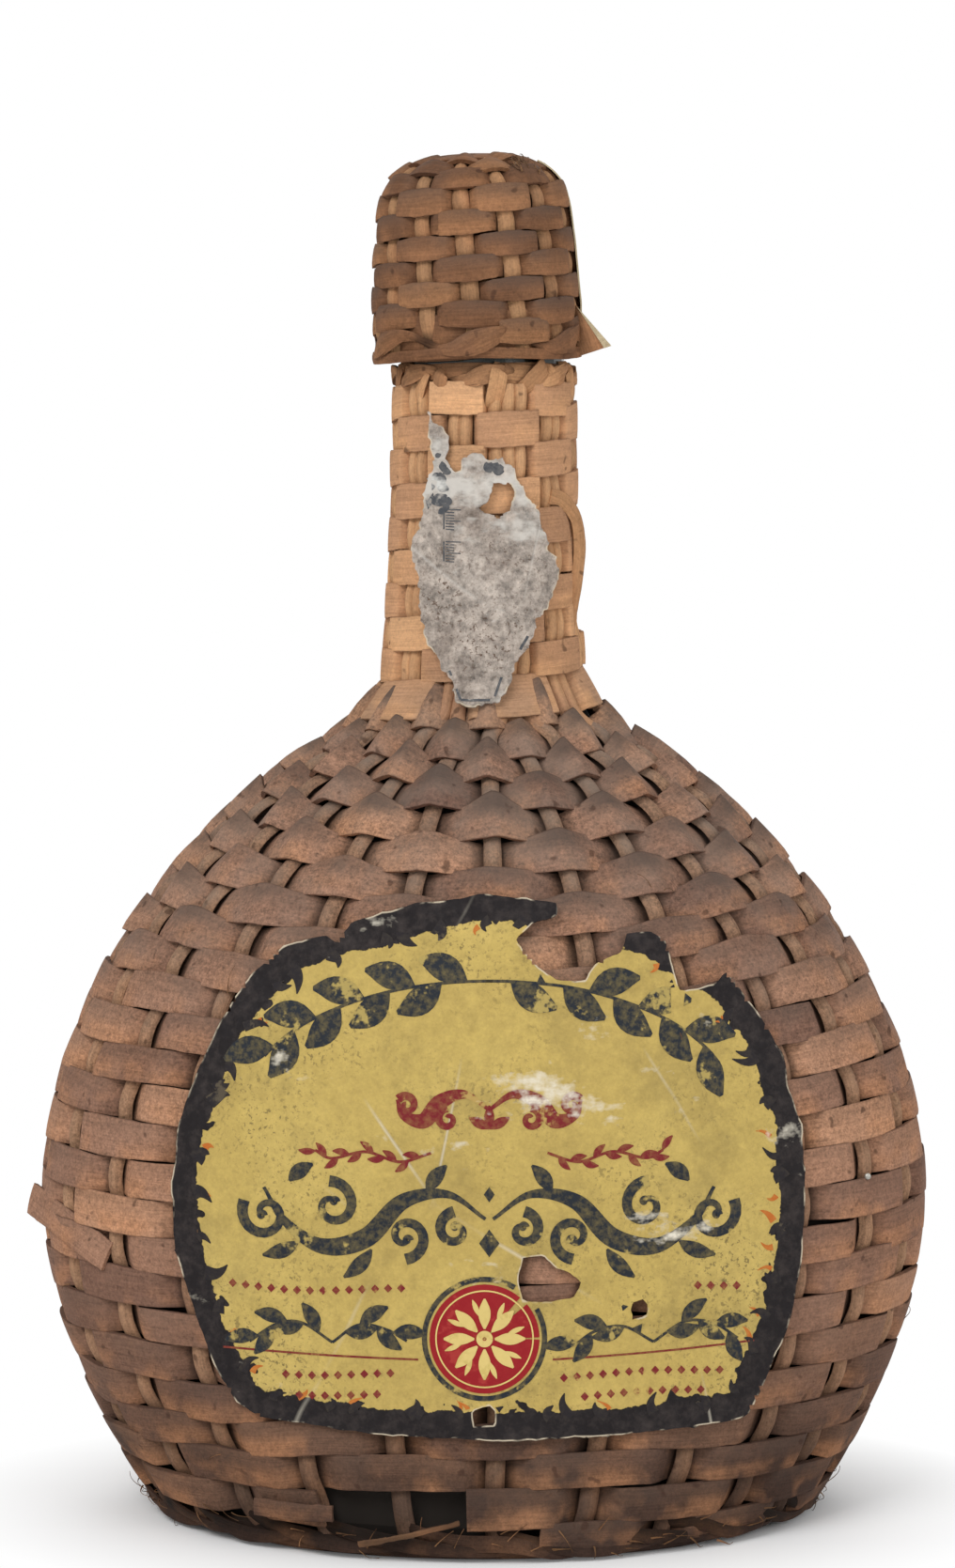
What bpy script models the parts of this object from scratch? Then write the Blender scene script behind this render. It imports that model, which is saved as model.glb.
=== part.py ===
"""A glass flask in a basket of split willow, with a woven cap that lifts off over its cork.

Metres, +Z up. The origin is the middle of the foot, on the surface that the flask stands on.
The labelled side looks to -Y. Angles run round the flask from that side towards +X.
"""

import math

import bmesh
import bpy
import numpy
from mathutils import Vector

# Fits
CLEARANCE = 0.0003          # between pieces that touch on the real flask
WEAVE_CLEARANCE = 0.0004    # between a stake and the splints that pass it
ROW_GAP = 0.0005            # between two rows of the weave
PROBE = 0.00005             # step with which a slope is measured

# Body of the basket, to the outside of the weave
BELLY_HALF_WIDTH = 0.0727
BELLY_HALF_DEPTH = 0.0470
BELLY_HEIGHT = 0.0539
FOOT_HALF_WIDTH = 0.0540
FOOT_SPREAD = 0.0005        # how much deeper, from front to back, the foot is than the belly
SHOULDER_RISE = 0.0848      # from the belly up to the foot of the neck
NECK_FOOT_FLARE = 0.0017    # what the foot of the neck is wider than its top
NECK_LENGTH = 0.0486
WEAVE_CHANGE_RISE = 0.0765  # from the belly up to where the stakes start to group

# The shoulder's outline: share of its rise, then share of the body left beyond the neck
SHOULDER_WIDTH_SHARES = ((0, 1), (0.16, 0.968), (0.34, 0.875), (0.525, 0.716),
                         (0.70, 0.475), (0.80, 0.295), (0.89, 0.104), (1, 0))
SHOULDER_DEPTH_SHARES = ((0, 1), (0.16, 0.985), (0.34, 0.925), (0.525, 0.795),
                         (0.70, 0.555), (0.80, 0.355), (0.89, 0.130), (1, 0))

# Stakes and splints
STAKES = 25
FIRST_STAKE_ANGLE = math.radians(1.6)
STAKE_WIDTH = 0.0032
STAKE_THICKNESS = 0.0010
SPLINT_WIDTH = 0.0050
SPLINT_THICKNESS = 0.0008
TURNS_IN_A_SPLINT = 4
NECK_GROUPS = 11            # of two or three stakes each; odd, so that the rows alternate
NECK_STAKE_WIDTH = 0.0019
NECK_STAKE_THICKNESS = 0.0007
NECK_SPLINT_WIDTH = 0.0046
NECK_SPLINT_THICKNESS = 0.0007
GROUPING_RISE = 0.0030      # height in which the stakes draw together into groups
BORDER_BULGE = 0.0006       # what a fold of a border stands proud

# Borders and base
FOOT_BORDER_HEIGHT = 0.0050
NECK_BORDER_HEIGHT = 0.0070
BASE_MAT_THICKNESS = 0.0015

# Glass and cork
GLASS_WALL = 0.0026
GLASS_BASE = 0.0040
GLASS_HEEL = 0.0030         # radius of the rounding round the glass base
PUNT_RISE = 0.0030
PUNT_WIDTH_SHARE = 0.55
LIP_HEIGHT = 0.0048
LIP_PROJECTION = 0.0010
CORK_FOOT_RADIUS = 0.0091
CORK_TAPER = 0.0008         # what the cork's head is wider than its foot
CORK_INSERTION = 0.0200
CORK_STAND = 0.0100         # how far the cork stands out of the mouth
CORK_CHAMFER = 0.0007

# Cap
CAP_HEIGHT = 0.0342
CAP_SLACK = 0.0015          # between the glass lip and the inside of the cap
CAP_LEAN = math.radians(-1.6)
CAP_TWIST = math.radians(-14)
CAP_STAKES = 13
CAP_STAKE_WIDTH = 0.0027     # at the rim of the cap
CAP_HUB_STAKE_WIDTH = 0.0018
CAP_STAKE_THICKNESS = 0.0008
CAP_SPLINT_WIDTH = 0.0031
CAP_SPLINT_THICKNESS = 0.0006
CAP_BORDER_HEIGHT = 0.0052
CAP_TURNS_IN_A_SPLINT = 4
CAP_HUB_RADIUS = 0.0050
CAP_PROFILE_SHARES = ((1.0, 0.0), (0.985, 0.16), (0.95, 0.47), (0.895, 0.78),
                      (0.81, 0.89), (0.64, 0.96), (0.34, 0.995), (0.0, 1.0))

# Papers
PAPER_THICKNESS = 0.00035
PAPER_LIFT = 0.0006         # from the weave's highest points to the paper's back
WIDEST_PAPER_SHARE = 0.97    # of the half width of the wicker that a paper is pasted on
LABEL_HALF_WIDTH = 0.0510
LABEL_HALF_HEIGHT = 0.0415
LABEL_RISE = 0.0076         # from the belly up to the middle of the label
LABEL_RINGS = 6
LABEL_OUTLINE_SHARES = ((1.0, 0.0), (0.985, 0.25), (0.90, 0.47), (0.78, 0.63), (0.63, 0.72),
                        (0.53, 0.86), (0.38, 0.83), (0.25, 0.78), (0.17, 0.84), (0.21, 0.96),
                        (0.05, 1.0), (-0.18, 0.99), (-0.40, 0.94), (-0.62, 0.86),
                        (-0.80, 0.66), (-0.93, 0.40), (-0.99, 0.12), (-0.97, -0.18),
                        (-0.91, -0.50), (-0.79, -0.85), (-0.55, -0.97), (-0.28, -1.0),
                        (0.0, -1.0), (0.38, -1.0), (0.66, -0.98), (0.86, -0.80),
                        (0.95, -0.50), (0.99, -0.25))
SEAL_HALF_WIDTH = 0.0110
SEAL_HALF_HEIGHT = 0.0230
SEAL_RISE = 0.0173          # from the foot of the neck up to the middle of its paper
SEAL_RINGS = 4
SEAL_OUTLINE_SHARES = ((1.0, -0.02), (0.98, 0.16), (0.90, 0.28), (0.80, 0.42), (0.52, 0.56),
                       (0.40, 0.74), (0.10, 0.66), (-0.12, 0.78), (-0.38, 0.70),
                       (-0.52, 0.97), (-0.74, 1.0), (-0.80, 0.70), (-0.86, 0.36),
                       (-0.95, 0.08), (-1.0, -0.12), (-0.96, -0.36), (-0.80, -0.62),
                       (-0.56, -0.80), (-0.40, -1.0), (0.20, -1.0), (0.44, -0.78),
                       (0.62, -0.55), (0.86, -0.36), (0.97, -0.20))
TAB_WIDTH = 0.0090
TAB_FLARE = 0.0024          # how far the loose end of the cap's paper tab stands off
TAB_TOP_SHARE = 0.86
TAB_LOOSE_SHARE = 0.30
TAB_END_SHARE = 0.10
TAB_STEPS = 7

# How finely round shapes are faceted
GLASS_SEGMENTS = 24
CORK_SEGMENTS = 24
LEVELS_BELOW_BELLY = 4
SHOULDER_LEVEL_SHARES = (0, 0.18, 0.34, 0.48, 0.60, 0.70, 0.78, 0.84, 0.89, 0.93, 0.97)
LEVELS_OF_NECK = 3
STAKE_STATIONS = 24
NECK_STATION_SHARES = (0.07, 0.16, 0.32, 0.6, 1)
CURVE_SAMPLES = 120
CAP_FRAME_STEPS = 9
SHARP_ANGLE = math.radians(40)

# Worked out from the above
FOOT_HALF_DEPTH = BELLY_HALF_DEPTH + FOOT_SPREAD
WEAVE_DEPTH = 2 * SPLINT_THICKNESS + STAKE_THICKNESS + 2 * WEAVE_CLEARANCE + CLEARANCE
NECK_WEAVE_DEPTH = (2 * NECK_SPLINT_THICKNESS + NECK_STAKE_THICKNESS
                    + 2 * WEAVE_CLEARANCE + CLEARANCE)
CAP_WEAVE_DEPTH = 2 * CAP_SPLINT_THICKNESS + CAP_STAKE_THICKNESS + 2 * WEAVE_CLEARANCE
GLASS_NECK_RADIUS = CORK_FOOT_RADIUS + CLEARANCE + GLASS_WALL
NECK_TOP_RADIUS = GLASS_NECK_RADIUS + NECK_WEAVE_DEPTH
NECK_FOOT_RADIUS = NECK_TOP_RADIUS + NECK_FOOT_FLARE
NECK_FOOT_HEIGHT = BELLY_HEIGHT + SHOULDER_RISE
NECK_TOP_HEIGHT = NECK_FOOT_HEIGHT + NECK_LENGTH
MOUTH_HEIGHT = NECK_TOP_HEIGHT + LIP_HEIGHT
WEAVE_FOOT_HEIGHT = FOOT_BORDER_HEIGHT + CLEARANCE
WEAVE_CHANGE_HEIGHT = BELLY_HEIGHT + WEAVE_CHANGE_RISE
WEAVE_TOP_HEIGHT = NECK_TOP_HEIGHT - NECK_BORDER_HEIGHT - CLEARANCE
LABEL_CENTRE_HEIGHT = BELLY_HEIGHT + LABEL_RISE
SEAL_CENTRE_HEIGHT = NECK_FOOT_HEIGHT + SEAL_RISE
LIP_RADIUS = GLASS_NECK_RADIUS + LIP_PROJECTION
CAP_RIM_RADIUS = LIP_RADIUS + CAP_SLACK + CAP_WEAVE_DEPTH
CAP_RIM_HEIGHT = NECK_TOP_HEIGHT + CLEARANCE + CAP_RIM_RADIUS * abs(math.sin(CAP_LEAN))


def smooth_share(points, place):
    """A smooth curve through (place, value) points that never overshoots them."""
    places = [point[0] for point in points]
    values = [point[1] for point in points]
    steps = [after - before for before, after in zip(places, places[1:])]
    slopes = [(after - before) / step
              for before, after, step in zip(values, values[1:], steps)]
    bends = [0]
    for before, after in zip(slopes, slopes[1:]):
        bends.append(0 if before * after <= 0 else 2 * before * after / (before + after))
    bends.append(0)
    place = min(max(place, places[0]), places[-1])
    index = max(i for i in range(len(steps)) if place >= places[i])
    step = steps[index]
    t = (place - places[index]) / step
    return (values[index] * (1 + 2 * t) * (1 - t) ** 2 + values[index + 1] * t * t * (3 - 2 * t)
            + step * (bends[index] * t * (1 - t) ** 2 - bends[index + 1] * t * t * (1 - t)))


def body_half(height, foot, belly, shares):
    """Half the basket's width or depth at a height, to the outside of the weave."""
    if height <= BELLY_HEIGHT:
        return foot + (belly - foot) * (1 - (1 - height / BELLY_HEIGHT) ** 2)
    if height <= NECK_FOOT_HEIGHT:
        rise = (height - BELLY_HEIGHT) / SHOULDER_RISE
        return NECK_FOOT_RADIUS + (belly - NECK_FOOT_RADIUS) * smooth_share(shares, rise)
    climb = (height - NECK_FOOT_HEIGHT) / NECK_LENGTH
    return NECK_TOP_RADIUS + NECK_FOOT_FLARE * (1 - climb) ** 2


def half_width(height):
    return body_half(height, FOOT_HALF_WIDTH, BELLY_HALF_WIDTH, SHOULDER_WIDTH_SHARES)


def half_depth(height):
    return body_half(height, FOOT_HALF_DEPTH, BELLY_HALF_DEPTH, SHOULDER_DEPTH_SHARES)


def oval(angle, height, width, depth):
    return Vector((width * math.sin(angle), -depth * math.cos(angle), height))


def outer(angle, height):
    """A point on the outside of the weave."""
    return oval(angle, height, half_width(height), half_depth(height))


def inset(angle, height, distance):
    """A point level with the outside of the weave and nearer the axis by a distance."""
    return oval(angle, height, half_width(height) - distance, half_depth(height) - distance)


def skin_point(angle, height, depth, lift):
    """A point under the outside of the weave by depth, and up along it by lift."""
    turn = PROBE / BELLY_HALF_WIDTH
    across = (outer(angle + turn, height) - outer(angle - turn, height)).normalized()
    up = (outer(angle, height + PROBE) - outer(angle, height - PROBE)).normalized()
    outward = across.cross(up).normalized()
    return outer(angle, height) - outward * depth + up * lift


def meridian(angle):
    """Heights up one stake of the body's weave, and how far along the stake each is."""
    heights = numpy.linspace(WEAVE_FOOT_HEIGHT, WEAVE_CHANGE_HEIGHT, CURVE_SAMPLES)
    points = [outer(angle, height) for height in heights]
    strides = [(after - before).length for before, after in zip(points, points[1:])]
    return heights, numpy.concatenate(([0], numpy.cumsum(strides)))


def height_on_stake(angle, share):
    """The height that lies a share of the way along the body's stretch of a stake."""
    heights, lengths = meridian(angle)
    return float(numpy.interp(share * lengths[-1], lengths, heights))


def body_rows():
    return int(meridian(0)[1][-1] / (SPLINT_WIDTH + ROW_GAP))


def neck_rows():
    run = WEAVE_TOP_HEIGHT - WEAVE_CHANGE_HEIGHT - GROUPING_RISE / 2
    return int(run / (NECK_SPLINT_WIDTH + ROW_GAP))


def body_stake_angle(index):
    return FIRST_STAKE_ANGLE + math.tau * index / STAKES


def neck_group(group):
    """The numbers of the stakes that are drawn together into one group on the neck."""
    return [index for index in range(STAKES) if index * NECK_GROUPS // STAKES == group]


def neck_stake_angle(index):
    """Where a stake stands on the neck, drawn to its neighbours so that they make a group."""
    group = index * NECK_GROUPS // STAKES
    members = neck_group(group)
    place = index - (members[0] + members[-1]) / 2
    first_group = neck_group(0)
    first = (body_stake_angle(first_group[0]) + body_stake_angle(first_group[-1])) / 2
    spacing = (NECK_STAKE_WIDTH + CLEARANCE) / NECK_TOP_RADIUS
    return first + math.tau * group / NECK_GROUPS + place * spacing


def stake_angle(index, height):
    drawn = (height - WEAVE_CHANGE_HEIGHT) / GROUPING_RISE
    drawn = min(max(drawn, 0), 1)
    drawn = drawn * drawn * (3 - 2 * drawn)
    return body_stake_angle(index) * (1 - drawn) + neck_stake_angle(index) * drawn


def closed_body(name, rings, finish, closed=False, smooth=False):
    """One solid through rings of points, with flat ends unless it closes on itself."""
    mesh = bpy.data.meshes.new(name)
    shape = bmesh.new()
    loops = [[shape.verts.new(point) for point in ring] for ring in rings]
    pairs = list(zip(loops, loops[1:]))
    if closed:
        pairs.append((loops[-1], loops[0]))
    else:
        shape.faces.new(loops[0])
        shape.faces.new(loops[-1])
    for near, far in pairs:
        for i in range(len(near)):
            j = (i + 1) % len(near)
            shape.faces.new((near[i], near[j], far[j], far[i]))
    return finished(name, mesh, shape, finish, smooth)


def finished(name, mesh, shape, finish, smooth=False):
    """Turn a bmesh into a named object with its faces outward and its own material."""
    bmesh.ops.triangulate(shape, faces=shape.faces[:])
    bmesh.ops.recalc_face_normals(shape, faces=shape.faces[:])
    shape.to_mesh(mesh)
    shape.free()
    if smooth:
        mesh.shade_smooth()
        mesh.set_sharp_from_angle(angle=SHARP_ANGLE)
    piece = bpy.data.objects.new(name, mesh)
    bpy.context.scene.collection.objects.link(piece)
    mesh.materials.append(finish)
    return piece


def material(name, colour, roughness, transmission=0.0):
    finish = bpy.data.materials.new(name)
    finish.use_nodes = True
    shader = finish.node_tree.nodes["Principled BSDF"]
    shader.inputs["Base Color"].default_value = (*colour, 1)
    shader.inputs["Roughness"].default_value = roughness
    shader.inputs["Metallic"].default_value = 0
    shader.inputs["Transmission Weight"].default_value = transmission
    return finish


# Stakes
def make_stake(index, finish):
    """One upright of the basket: flat inside, crowned outside, narrower on the neck."""
    shares = [step / STAKE_STATIONS for step in range(STAKE_STATIONS + 1)]
    angle = body_stake_angle(index)
    heights = [height_on_stake(angle, share) for share in shares]
    for step in range(1, LEVELS_OF_NECK + 1):
        heights.append(WEAVE_CHANGE_HEIGHT + GROUPING_RISE * step / LEVELS_OF_NECK)
    rest = WEAVE_TOP_HEIGHT - heights[-1]
    heights += [heights[-1] + rest * share for share in NECK_STATION_SHARES]
    rings = []
    for height in heights:
        drawn = min(max((height - WEAVE_CHANGE_HEIGHT) / GROUPING_RISE, 0), 1)
        narrowing = min(max((height - BELLY_HEIGHT) / WEAVE_CHANGE_RISE, 0), 1)
        width = STAKE_WIDTH + (NECK_STAKE_WIDTH - STAKE_WIDTH) * narrowing
        thickness = STAKE_THICKNESS + (NECK_STAKE_THICKNESS - STAKE_THICKNESS) * drawn
        splint = SPLINT_THICKNESS + (NECK_SPLINT_THICKNESS - SPLINT_THICKNESS) * drawn
        crown = splint + WEAVE_CLEARANCE
        turn = stake_angle(index, height)
        inner = skin_point(turn, height, crown + thickness, 0)
        side = (skin_point(turn + PROBE / BELLY_HALF_WIDTH, height, crown + thickness, 0)
                - inner).normalized() * width / 2
        rings.append((inner - side, inner + side, skin_point(turn, height, crown, 0)))
    return closed_body(f"stake_{index + 1:02d}", rings, finish)


# Splints woven round the body, in one rising spiral
def body_station(crossing):
    """Where the spiral stands at a crossing, counted in stakes passed since its start."""
    rows = body_rows()
    angle = body_stake_angle(crossing)
    share = (0.5 + crossing / STAKES) / rows
    near_stake = math.cos(math.pi * crossing)
    depth = (SPLINT_THICKNESS / 2
             + (SPLINT_THICKNESS + STAKE_THICKNESS + 2 * WEAVE_CLEARANCE) * (1 - near_stake) / 2)
    return angle, height_on_stake(angle, share), depth


def splint_ring(angle, height, depth, width, thickness):
    return [skin_point(angle, height, depth + side * thickness / 2, lift * width / 2)
            for side, lift in ((-1, -1), (-1, 1), (1, 1), (1, -1))]


def make_body_splints(finish):
    crossings = (body_rows() - 1) * STAKES
    run = TURNS_IN_A_SPLINT * STAKES
    gap = CLEARANCE / BELLY_HALF_DEPTH * STAKES
    pieces = []
    for number, start in enumerate(range(0, crossings, run)):
        end = min(start + run, crossings)
        stations = [start - 0.5 + gap] + list(range(start, end)) + [end - 0.5 - gap]
        if number == 0:
            stations = list(range(start, end)) + [end - 0.5 - gap]
        rings = [splint_ring(*body_station(crossing), SPLINT_WIDTH, SPLINT_THICKNESS)
                 for crossing in stations]
        pieces.append(closed_body(f"body_splint_{number + 1}", rings, finish))
    return pieces


# Splints woven round the neck, over and under groups of stakes
def neck_crossing(crossing):
    """The stations at which the spiral starts, is half way and ends to pass a group of stakes."""
    foot = WEAVE_CHANGE_HEIGHT + GROUPING_RISE / 2
    rows = neck_rows()
    pitch = (WEAVE_TOP_HEIGHT - foot) / rows
    height = foot + pitch * (0.5 + crossing / NECK_GROUPS)
    turns, group = divmod(crossing, NECK_GROUPS)
    members = neck_group(group)
    first, last = members[0], members[-1]
    low = height - NECK_SPLINT_WIDTH / 2
    margin = (NECK_STAKE_WIDTH + WEAVE_CLEARANCE) / 2 / NECK_TOP_RADIUS
    full_turns = turns * math.tau
    depth = NECK_SPLINT_THICKNESS / 2
    if crossing % 2:
        depth += NECK_SPLINT_THICKNESS + NECK_STAKE_THICKNESS + 2 * WEAVE_CLEARANCE
    start = full_turns + stake_angle(first, low) - margin
    end = full_turns + stake_angle(last, low) + margin
    return [(angle, height, depth) for angle in (start, (start + end) / 2, end)]


def make_neck_splints(finish):
    crossings = (neck_rows() - 1) * NECK_GROUPS
    run = TURNS_IN_A_SPLINT * NECK_GROUPS
    pieces = []
    for number, start in enumerate(range(0, crossings, run)):
        rings = []
        for crossing in range(start, min(start + run, crossings)):
            for station in neck_crossing(crossing):
                rings.append(splint_ring(*station, NECK_SPLINT_WIDTH, NECK_SPLINT_THICKNESS))
        pieces.append(closed_body(f"neck_splint_{number + 1}", rings, finish))
    return pieces


# Borders, where the ends of the stakes are folded down and tucked in
def make_border(name, level_point, folds, bottom, top, thickness, finish):
    """A plaited ring: its outside swells at every other station."""
    rings = []
    for station in range(2 * folds):
        angle = math.tau * station / (2 * folds)
        bulge = BORDER_BULGE if station % 2 else 0
        middle = (bottom + top) / 2
        rings.append((level_point(angle, bottom, thickness), level_point(angle, bottom, BORDER_BULGE),
                      level_point(angle, middle, -bulge), level_point(angle, top, BORDER_BULGE),
                      level_point(angle, top, thickness)))
    return closed_body(name, rings, finish, closed=True)


def make_base_mat(finish):
    """The flat woven bottom, as one plate inside the foot border, under the glass."""
    rings = [[inset(math.tau * i / (2 * STAKES), 0, WEAVE_DEPTH) + Vector((0, 0, height))
              for i in range(2 * STAKES)] for height in (0, BASE_MAT_THICKNESS)]
    return closed_body("base_mat", rings, finish)


# Glass
def cover_depth(height):
    """How thick the wicker is at a height, with the gap under it."""
    share = (height - WEAVE_CHANGE_HEIGHT) / (NECK_FOOT_HEIGHT - WEAVE_CHANGE_HEIGHT)
    share = min(max(share, 0), 1)
    return WEAVE_DEPTH * (1 - share) + NECK_WEAVE_DEPTH * share


def under_weave(half, height, extra):
    """Half the width or depth, at a height, of what lies that much further in than the wicker."""
    outline = numpy.linspace(0, NECK_TOP_HEIGHT, CURVE_SAMPLES)
    levels, reaches = [], []
    for level in outline:
        slope = (half(level + PROBE) - half(level - PROBE)) / (2 * PROBE)
        depth = (cover_depth(level) + extra) / math.hypot(1, slope)
        levels.append(level + depth * slope)
        reaches.append(half(level) - depth)
    return float(numpy.interp(height, levels, reaches))


def glass_level(height, extra=0):
    """Half the width and half the depth of the glass, or of what lies further in by extra."""
    return under_weave(half_width, height, extra), under_weave(half_depth, height, extra)


def steps_between(low, high, count):
    return [low + (high - low) * step / count for step in range(count)]


def cork_radius(height):
    foot = MOUTH_HEIGHT - CORK_INSERTION
    share = (height - foot) / (CORK_INSERTION + CORK_STAND)
    return CORK_FOOT_RADIUS + CORK_TAPER * share


def make_glass(finish):
    """The bottle: a heel and punt, an oval body, a round neck, a lip and an open bore."""
    foot = BASE_MAT_THICKNESS + CLEARANCE
    heel = foot + GLASS_HEEL
    floor = foot + GLASS_BASE
    rising = [BELLY_HEIGHT + SHOULDER_RISE * share for share in SHOULDER_LEVEL_SHARES]
    neck = steps_between(NECK_FOOT_HEIGHT, NECK_TOP_HEIGHT, LEVELS_OF_NECK)
    heel_half = glass_level(heel)
    levels = [(foot + PUNT_RISE, *(half * PUNT_WIDTH_SHARE / 2 for half in heel_half)),
              (foot + PUNT_RISE / 2, *(half * PUNT_WIDTH_SHARE for half in heel_half)),
              (foot, *(half - GLASS_HEEL * 2 for half in heel_half)),
              (foot, *(half - GLASS_HEEL for half in heel_half)),
              (foot + GLASS_HEEL / 3, *(half - GLASS_HEEL / 3 for half in heel_half))]
    outside = steps_between(heel, BELLY_HEIGHT, LEVELS_BELOW_BELLY) + rising + neck
    levels += [(height, *glass_level(height)) for height in outside]
    levels += [(NECK_TOP_HEIGHT, GLASS_NECK_RADIUS, GLASS_NECK_RADIUS),
               (NECK_TOP_HEIGHT + CLEARANCE, LIP_RADIUS, LIP_RADIUS),
               (MOUTH_HEIGHT - LIP_PROJECTION, LIP_RADIUS, LIP_RADIUS),
               (MOUTH_HEIGHT, LIP_RADIUS - LIP_PROJECTION, LIP_RADIUS - LIP_PROJECTION)]
    bore = cork_radius(MOUTH_HEIGHT) + CLEARANCE
    levels.append((MOUTH_HEIGHT, bore, bore))
    cork_foot = MOUTH_HEIGHT - CORK_INSERTION
    inside = [cork_foot] + [height for height in reversed(neck) if height < cork_foot - GLASS_WALL]
    inside += list(reversed(rising)) + list(reversed(steps_between(floor + GLASS_HEEL, BELLY_HEIGHT,
                                                                   LEVELS_BELOW_BELLY)))
    for height in inside:
        level = glass_level(height, GLASS_WALL)
        levels.append((height, *(max(half, CORK_FOOT_RADIUS + CLEARANCE) for half in level)))
    inner_heel = glass_level(floor + GLASS_HEEL, GLASS_WALL)
    levels += [(floor + GLASS_HEEL / 3, *(half - GLASS_HEEL / 3 for half in inner_heel)),
               (floor, *(half - GLASS_HEEL for half in inner_heel)),
               (floor + PUNT_RISE / 2, *(half * PUNT_WIDTH_SHARE for half in inner_heel)),
               (floor + PUNT_RISE, *(half * PUNT_WIDTH_SHARE / 2 for half in inner_heel))]
    rings = [[oval(math.tau * i / GLASS_SEGMENTS, height, width, depth)
              for i in range(GLASS_SEGMENTS)] for height, width, depth in levels]
    return closed_body("glass_flask", rings, finish, smooth=True)


def make_cork(finish):
    """A tapered cork, with its origin on the axis along which it is pulled."""
    length = CORK_INSERTION + CORK_STAND
    foot = MOUTH_HEIGHT - CORK_INSERTION
    profile = ((0, CORK_FOOT_RADIUS - CORK_CHAMFER), (CORK_CHAMFER, CORK_FOOT_RADIUS),
               (length - CORK_CHAMFER, cork_radius(foot + length)),
               (length, cork_radius(foot + length) - CORK_CHAMFER))
    rings = [[oval(math.tau * i / CORK_SEGMENTS, height, radius, radius)
              for i in range(CORK_SEGMENTS)] for height, radius in profile]
    cork = closed_body("cork", rings, finish, smooth=True)
    cork.location = (0, 0, foot)
    return cork


# Cap, built round its own axis with its rim at zero
def cap_outline():
    """Radii and heights up the outside of the cap, and how far along it each point is."""
    steps = numpy.linspace(0, len(CAP_PROFILE_SHARES) - 1, CURVE_SAMPLES)
    points = []
    for step in steps:
        index = min(int(step), len(CAP_PROFILE_SHARES) - 2)
        t = step - index
        around = [CAP_PROFILE_SHARES[min(max(index + i, 0), len(CAP_PROFILE_SHARES) - 1)]
                  for i in (-1, 0, 1, 2)]
        point = []
        for axis in (0, 1):
            a, b, c, d = (share[axis] for share in around)
            point.append(b + t * (c - a + t * (2 * a - 5 * b + 4 * c - d
                                               + t * (3 * b - a - 3 * c + d))) / 2)
        points.append((point[0] * CAP_RIM_RADIUS, point[1] * CAP_HEIGHT))
    strides = [math.dist(before, after) for before, after in zip(points, points[1:])]
    lengths = numpy.concatenate(([0], numpy.cumsum(strides)))
    return [point[0] for point in points], [point[1] for point in points], lengths


CAP_RADII, CAP_HEIGHTS, CAP_LENGTHS = cap_outline()
CAP_OUTLINE_LENGTH = float(CAP_LENGTHS[-1])


def cap_point(angle, travel, depth, lift=0):
    """A point under the outside of the cap by depth, at a distance along it from the rim."""
    def at(distance):
        return (float(numpy.interp(distance, CAP_LENGTHS, CAP_RADII)),
                float(numpy.interp(distance, CAP_LENGTHS, CAP_HEIGHTS)))
    reach = CAP_SPLINT_WIDTH / 2
    radius, height = at(travel)
    low, high = at(travel - reach), at(travel + reach)
    run = math.dist(low, high)
    up = ((high[0] - low[0]) / run, (high[1] - low[1]) / run)
    radius += up[0] * lift - up[1] * depth
    height += up[1] * lift + up[0] * depth
    return oval(angle, height, radius, radius)


def cap_travel_at_height(height):
    return float(numpy.interp(height, CAP_HEIGHTS, CAP_LENGTHS))


def cap_travel_at_radius(radius):
    return float(numpy.interp(-radius, [-value for value in CAP_RADII], CAP_LENGTHS))


def cap_stake_angle(index, travel):
    return math.tau * index / CAP_STAKES + CAP_TWIST * travel / CAP_OUTLINE_LENGTH


def cap_stake_width(travel):
    """The width of a cap stake, which narrows from the rim to the hub."""
    share = min(travel / cap_travel_at_radius(CAP_HUB_RADIUS), 1)
    return CAP_STAKE_WIDTH + (CAP_HUB_STAKE_WIDTH - CAP_STAKE_WIDTH) * share


def cap_weave_range():
    foot = cap_travel_at_height(CAP_BORDER_HEIGHT) + CLEARANCE
    top = cap_travel_at_radius(CAP_HUB_RADIUS) - CAP_SPLINT_WIDTH / 2 - ROW_GAP
    return foot, top


def make_cap_frame(finish):
    """The cap's stakes and the knot in which they cross, as one piece."""
    name = "cap_frame"
    foot, top = cap_weave_range()
    hub = cap_travel_at_radius(CAP_HUB_RADIUS)
    crown = CAP_SPLINT_THICKNESS + WEAVE_CLEARANCE
    travels = [hub - (hub - foot) * step / CAP_FRAME_STEPS
               for step in range(1, CAP_FRAME_STEPS + 1)]
    mesh = bpy.data.meshes.new(name)
    shape = bmesh.new()

    def section(index, travel):
        angle = cap_stake_angle(index, travel)
        points = []
        for depth in (crown, crown + CAP_STAKE_THICKNESS):
            middle = cap_point(angle, travel, depth)
            side = Vector((math.cos(angle), math.sin(angle), 0)) * cap_stake_width(travel) / 2
            points += [middle - side, middle + side]
        return [shape.verts.new(points[i]) for i in (0, 1, 3, 2)]

    roots = [section(index, hub) for index in range(CAP_STAKES)]
    shape.faces.new([vert for root in roots for vert in (root[0], root[1])])
    shape.faces.new([vert for root in roots for vert in (root[3], root[2])])
    for index, root in enumerate(roots):
        after = roots[(index + 1) % CAP_STAKES]
        shape.faces.new((root[1], after[0], after[3], root[2]))
        near = root
        for travel in travels:
            far = section(index, travel)
            for i in range(4):
                j = (i + 1) % 4
                shape.faces.new((near[i], near[j], far[j], far[i]))
            near = far
        shape.faces.new(near)
    return finished(name, mesh, shape, finish)


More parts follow.
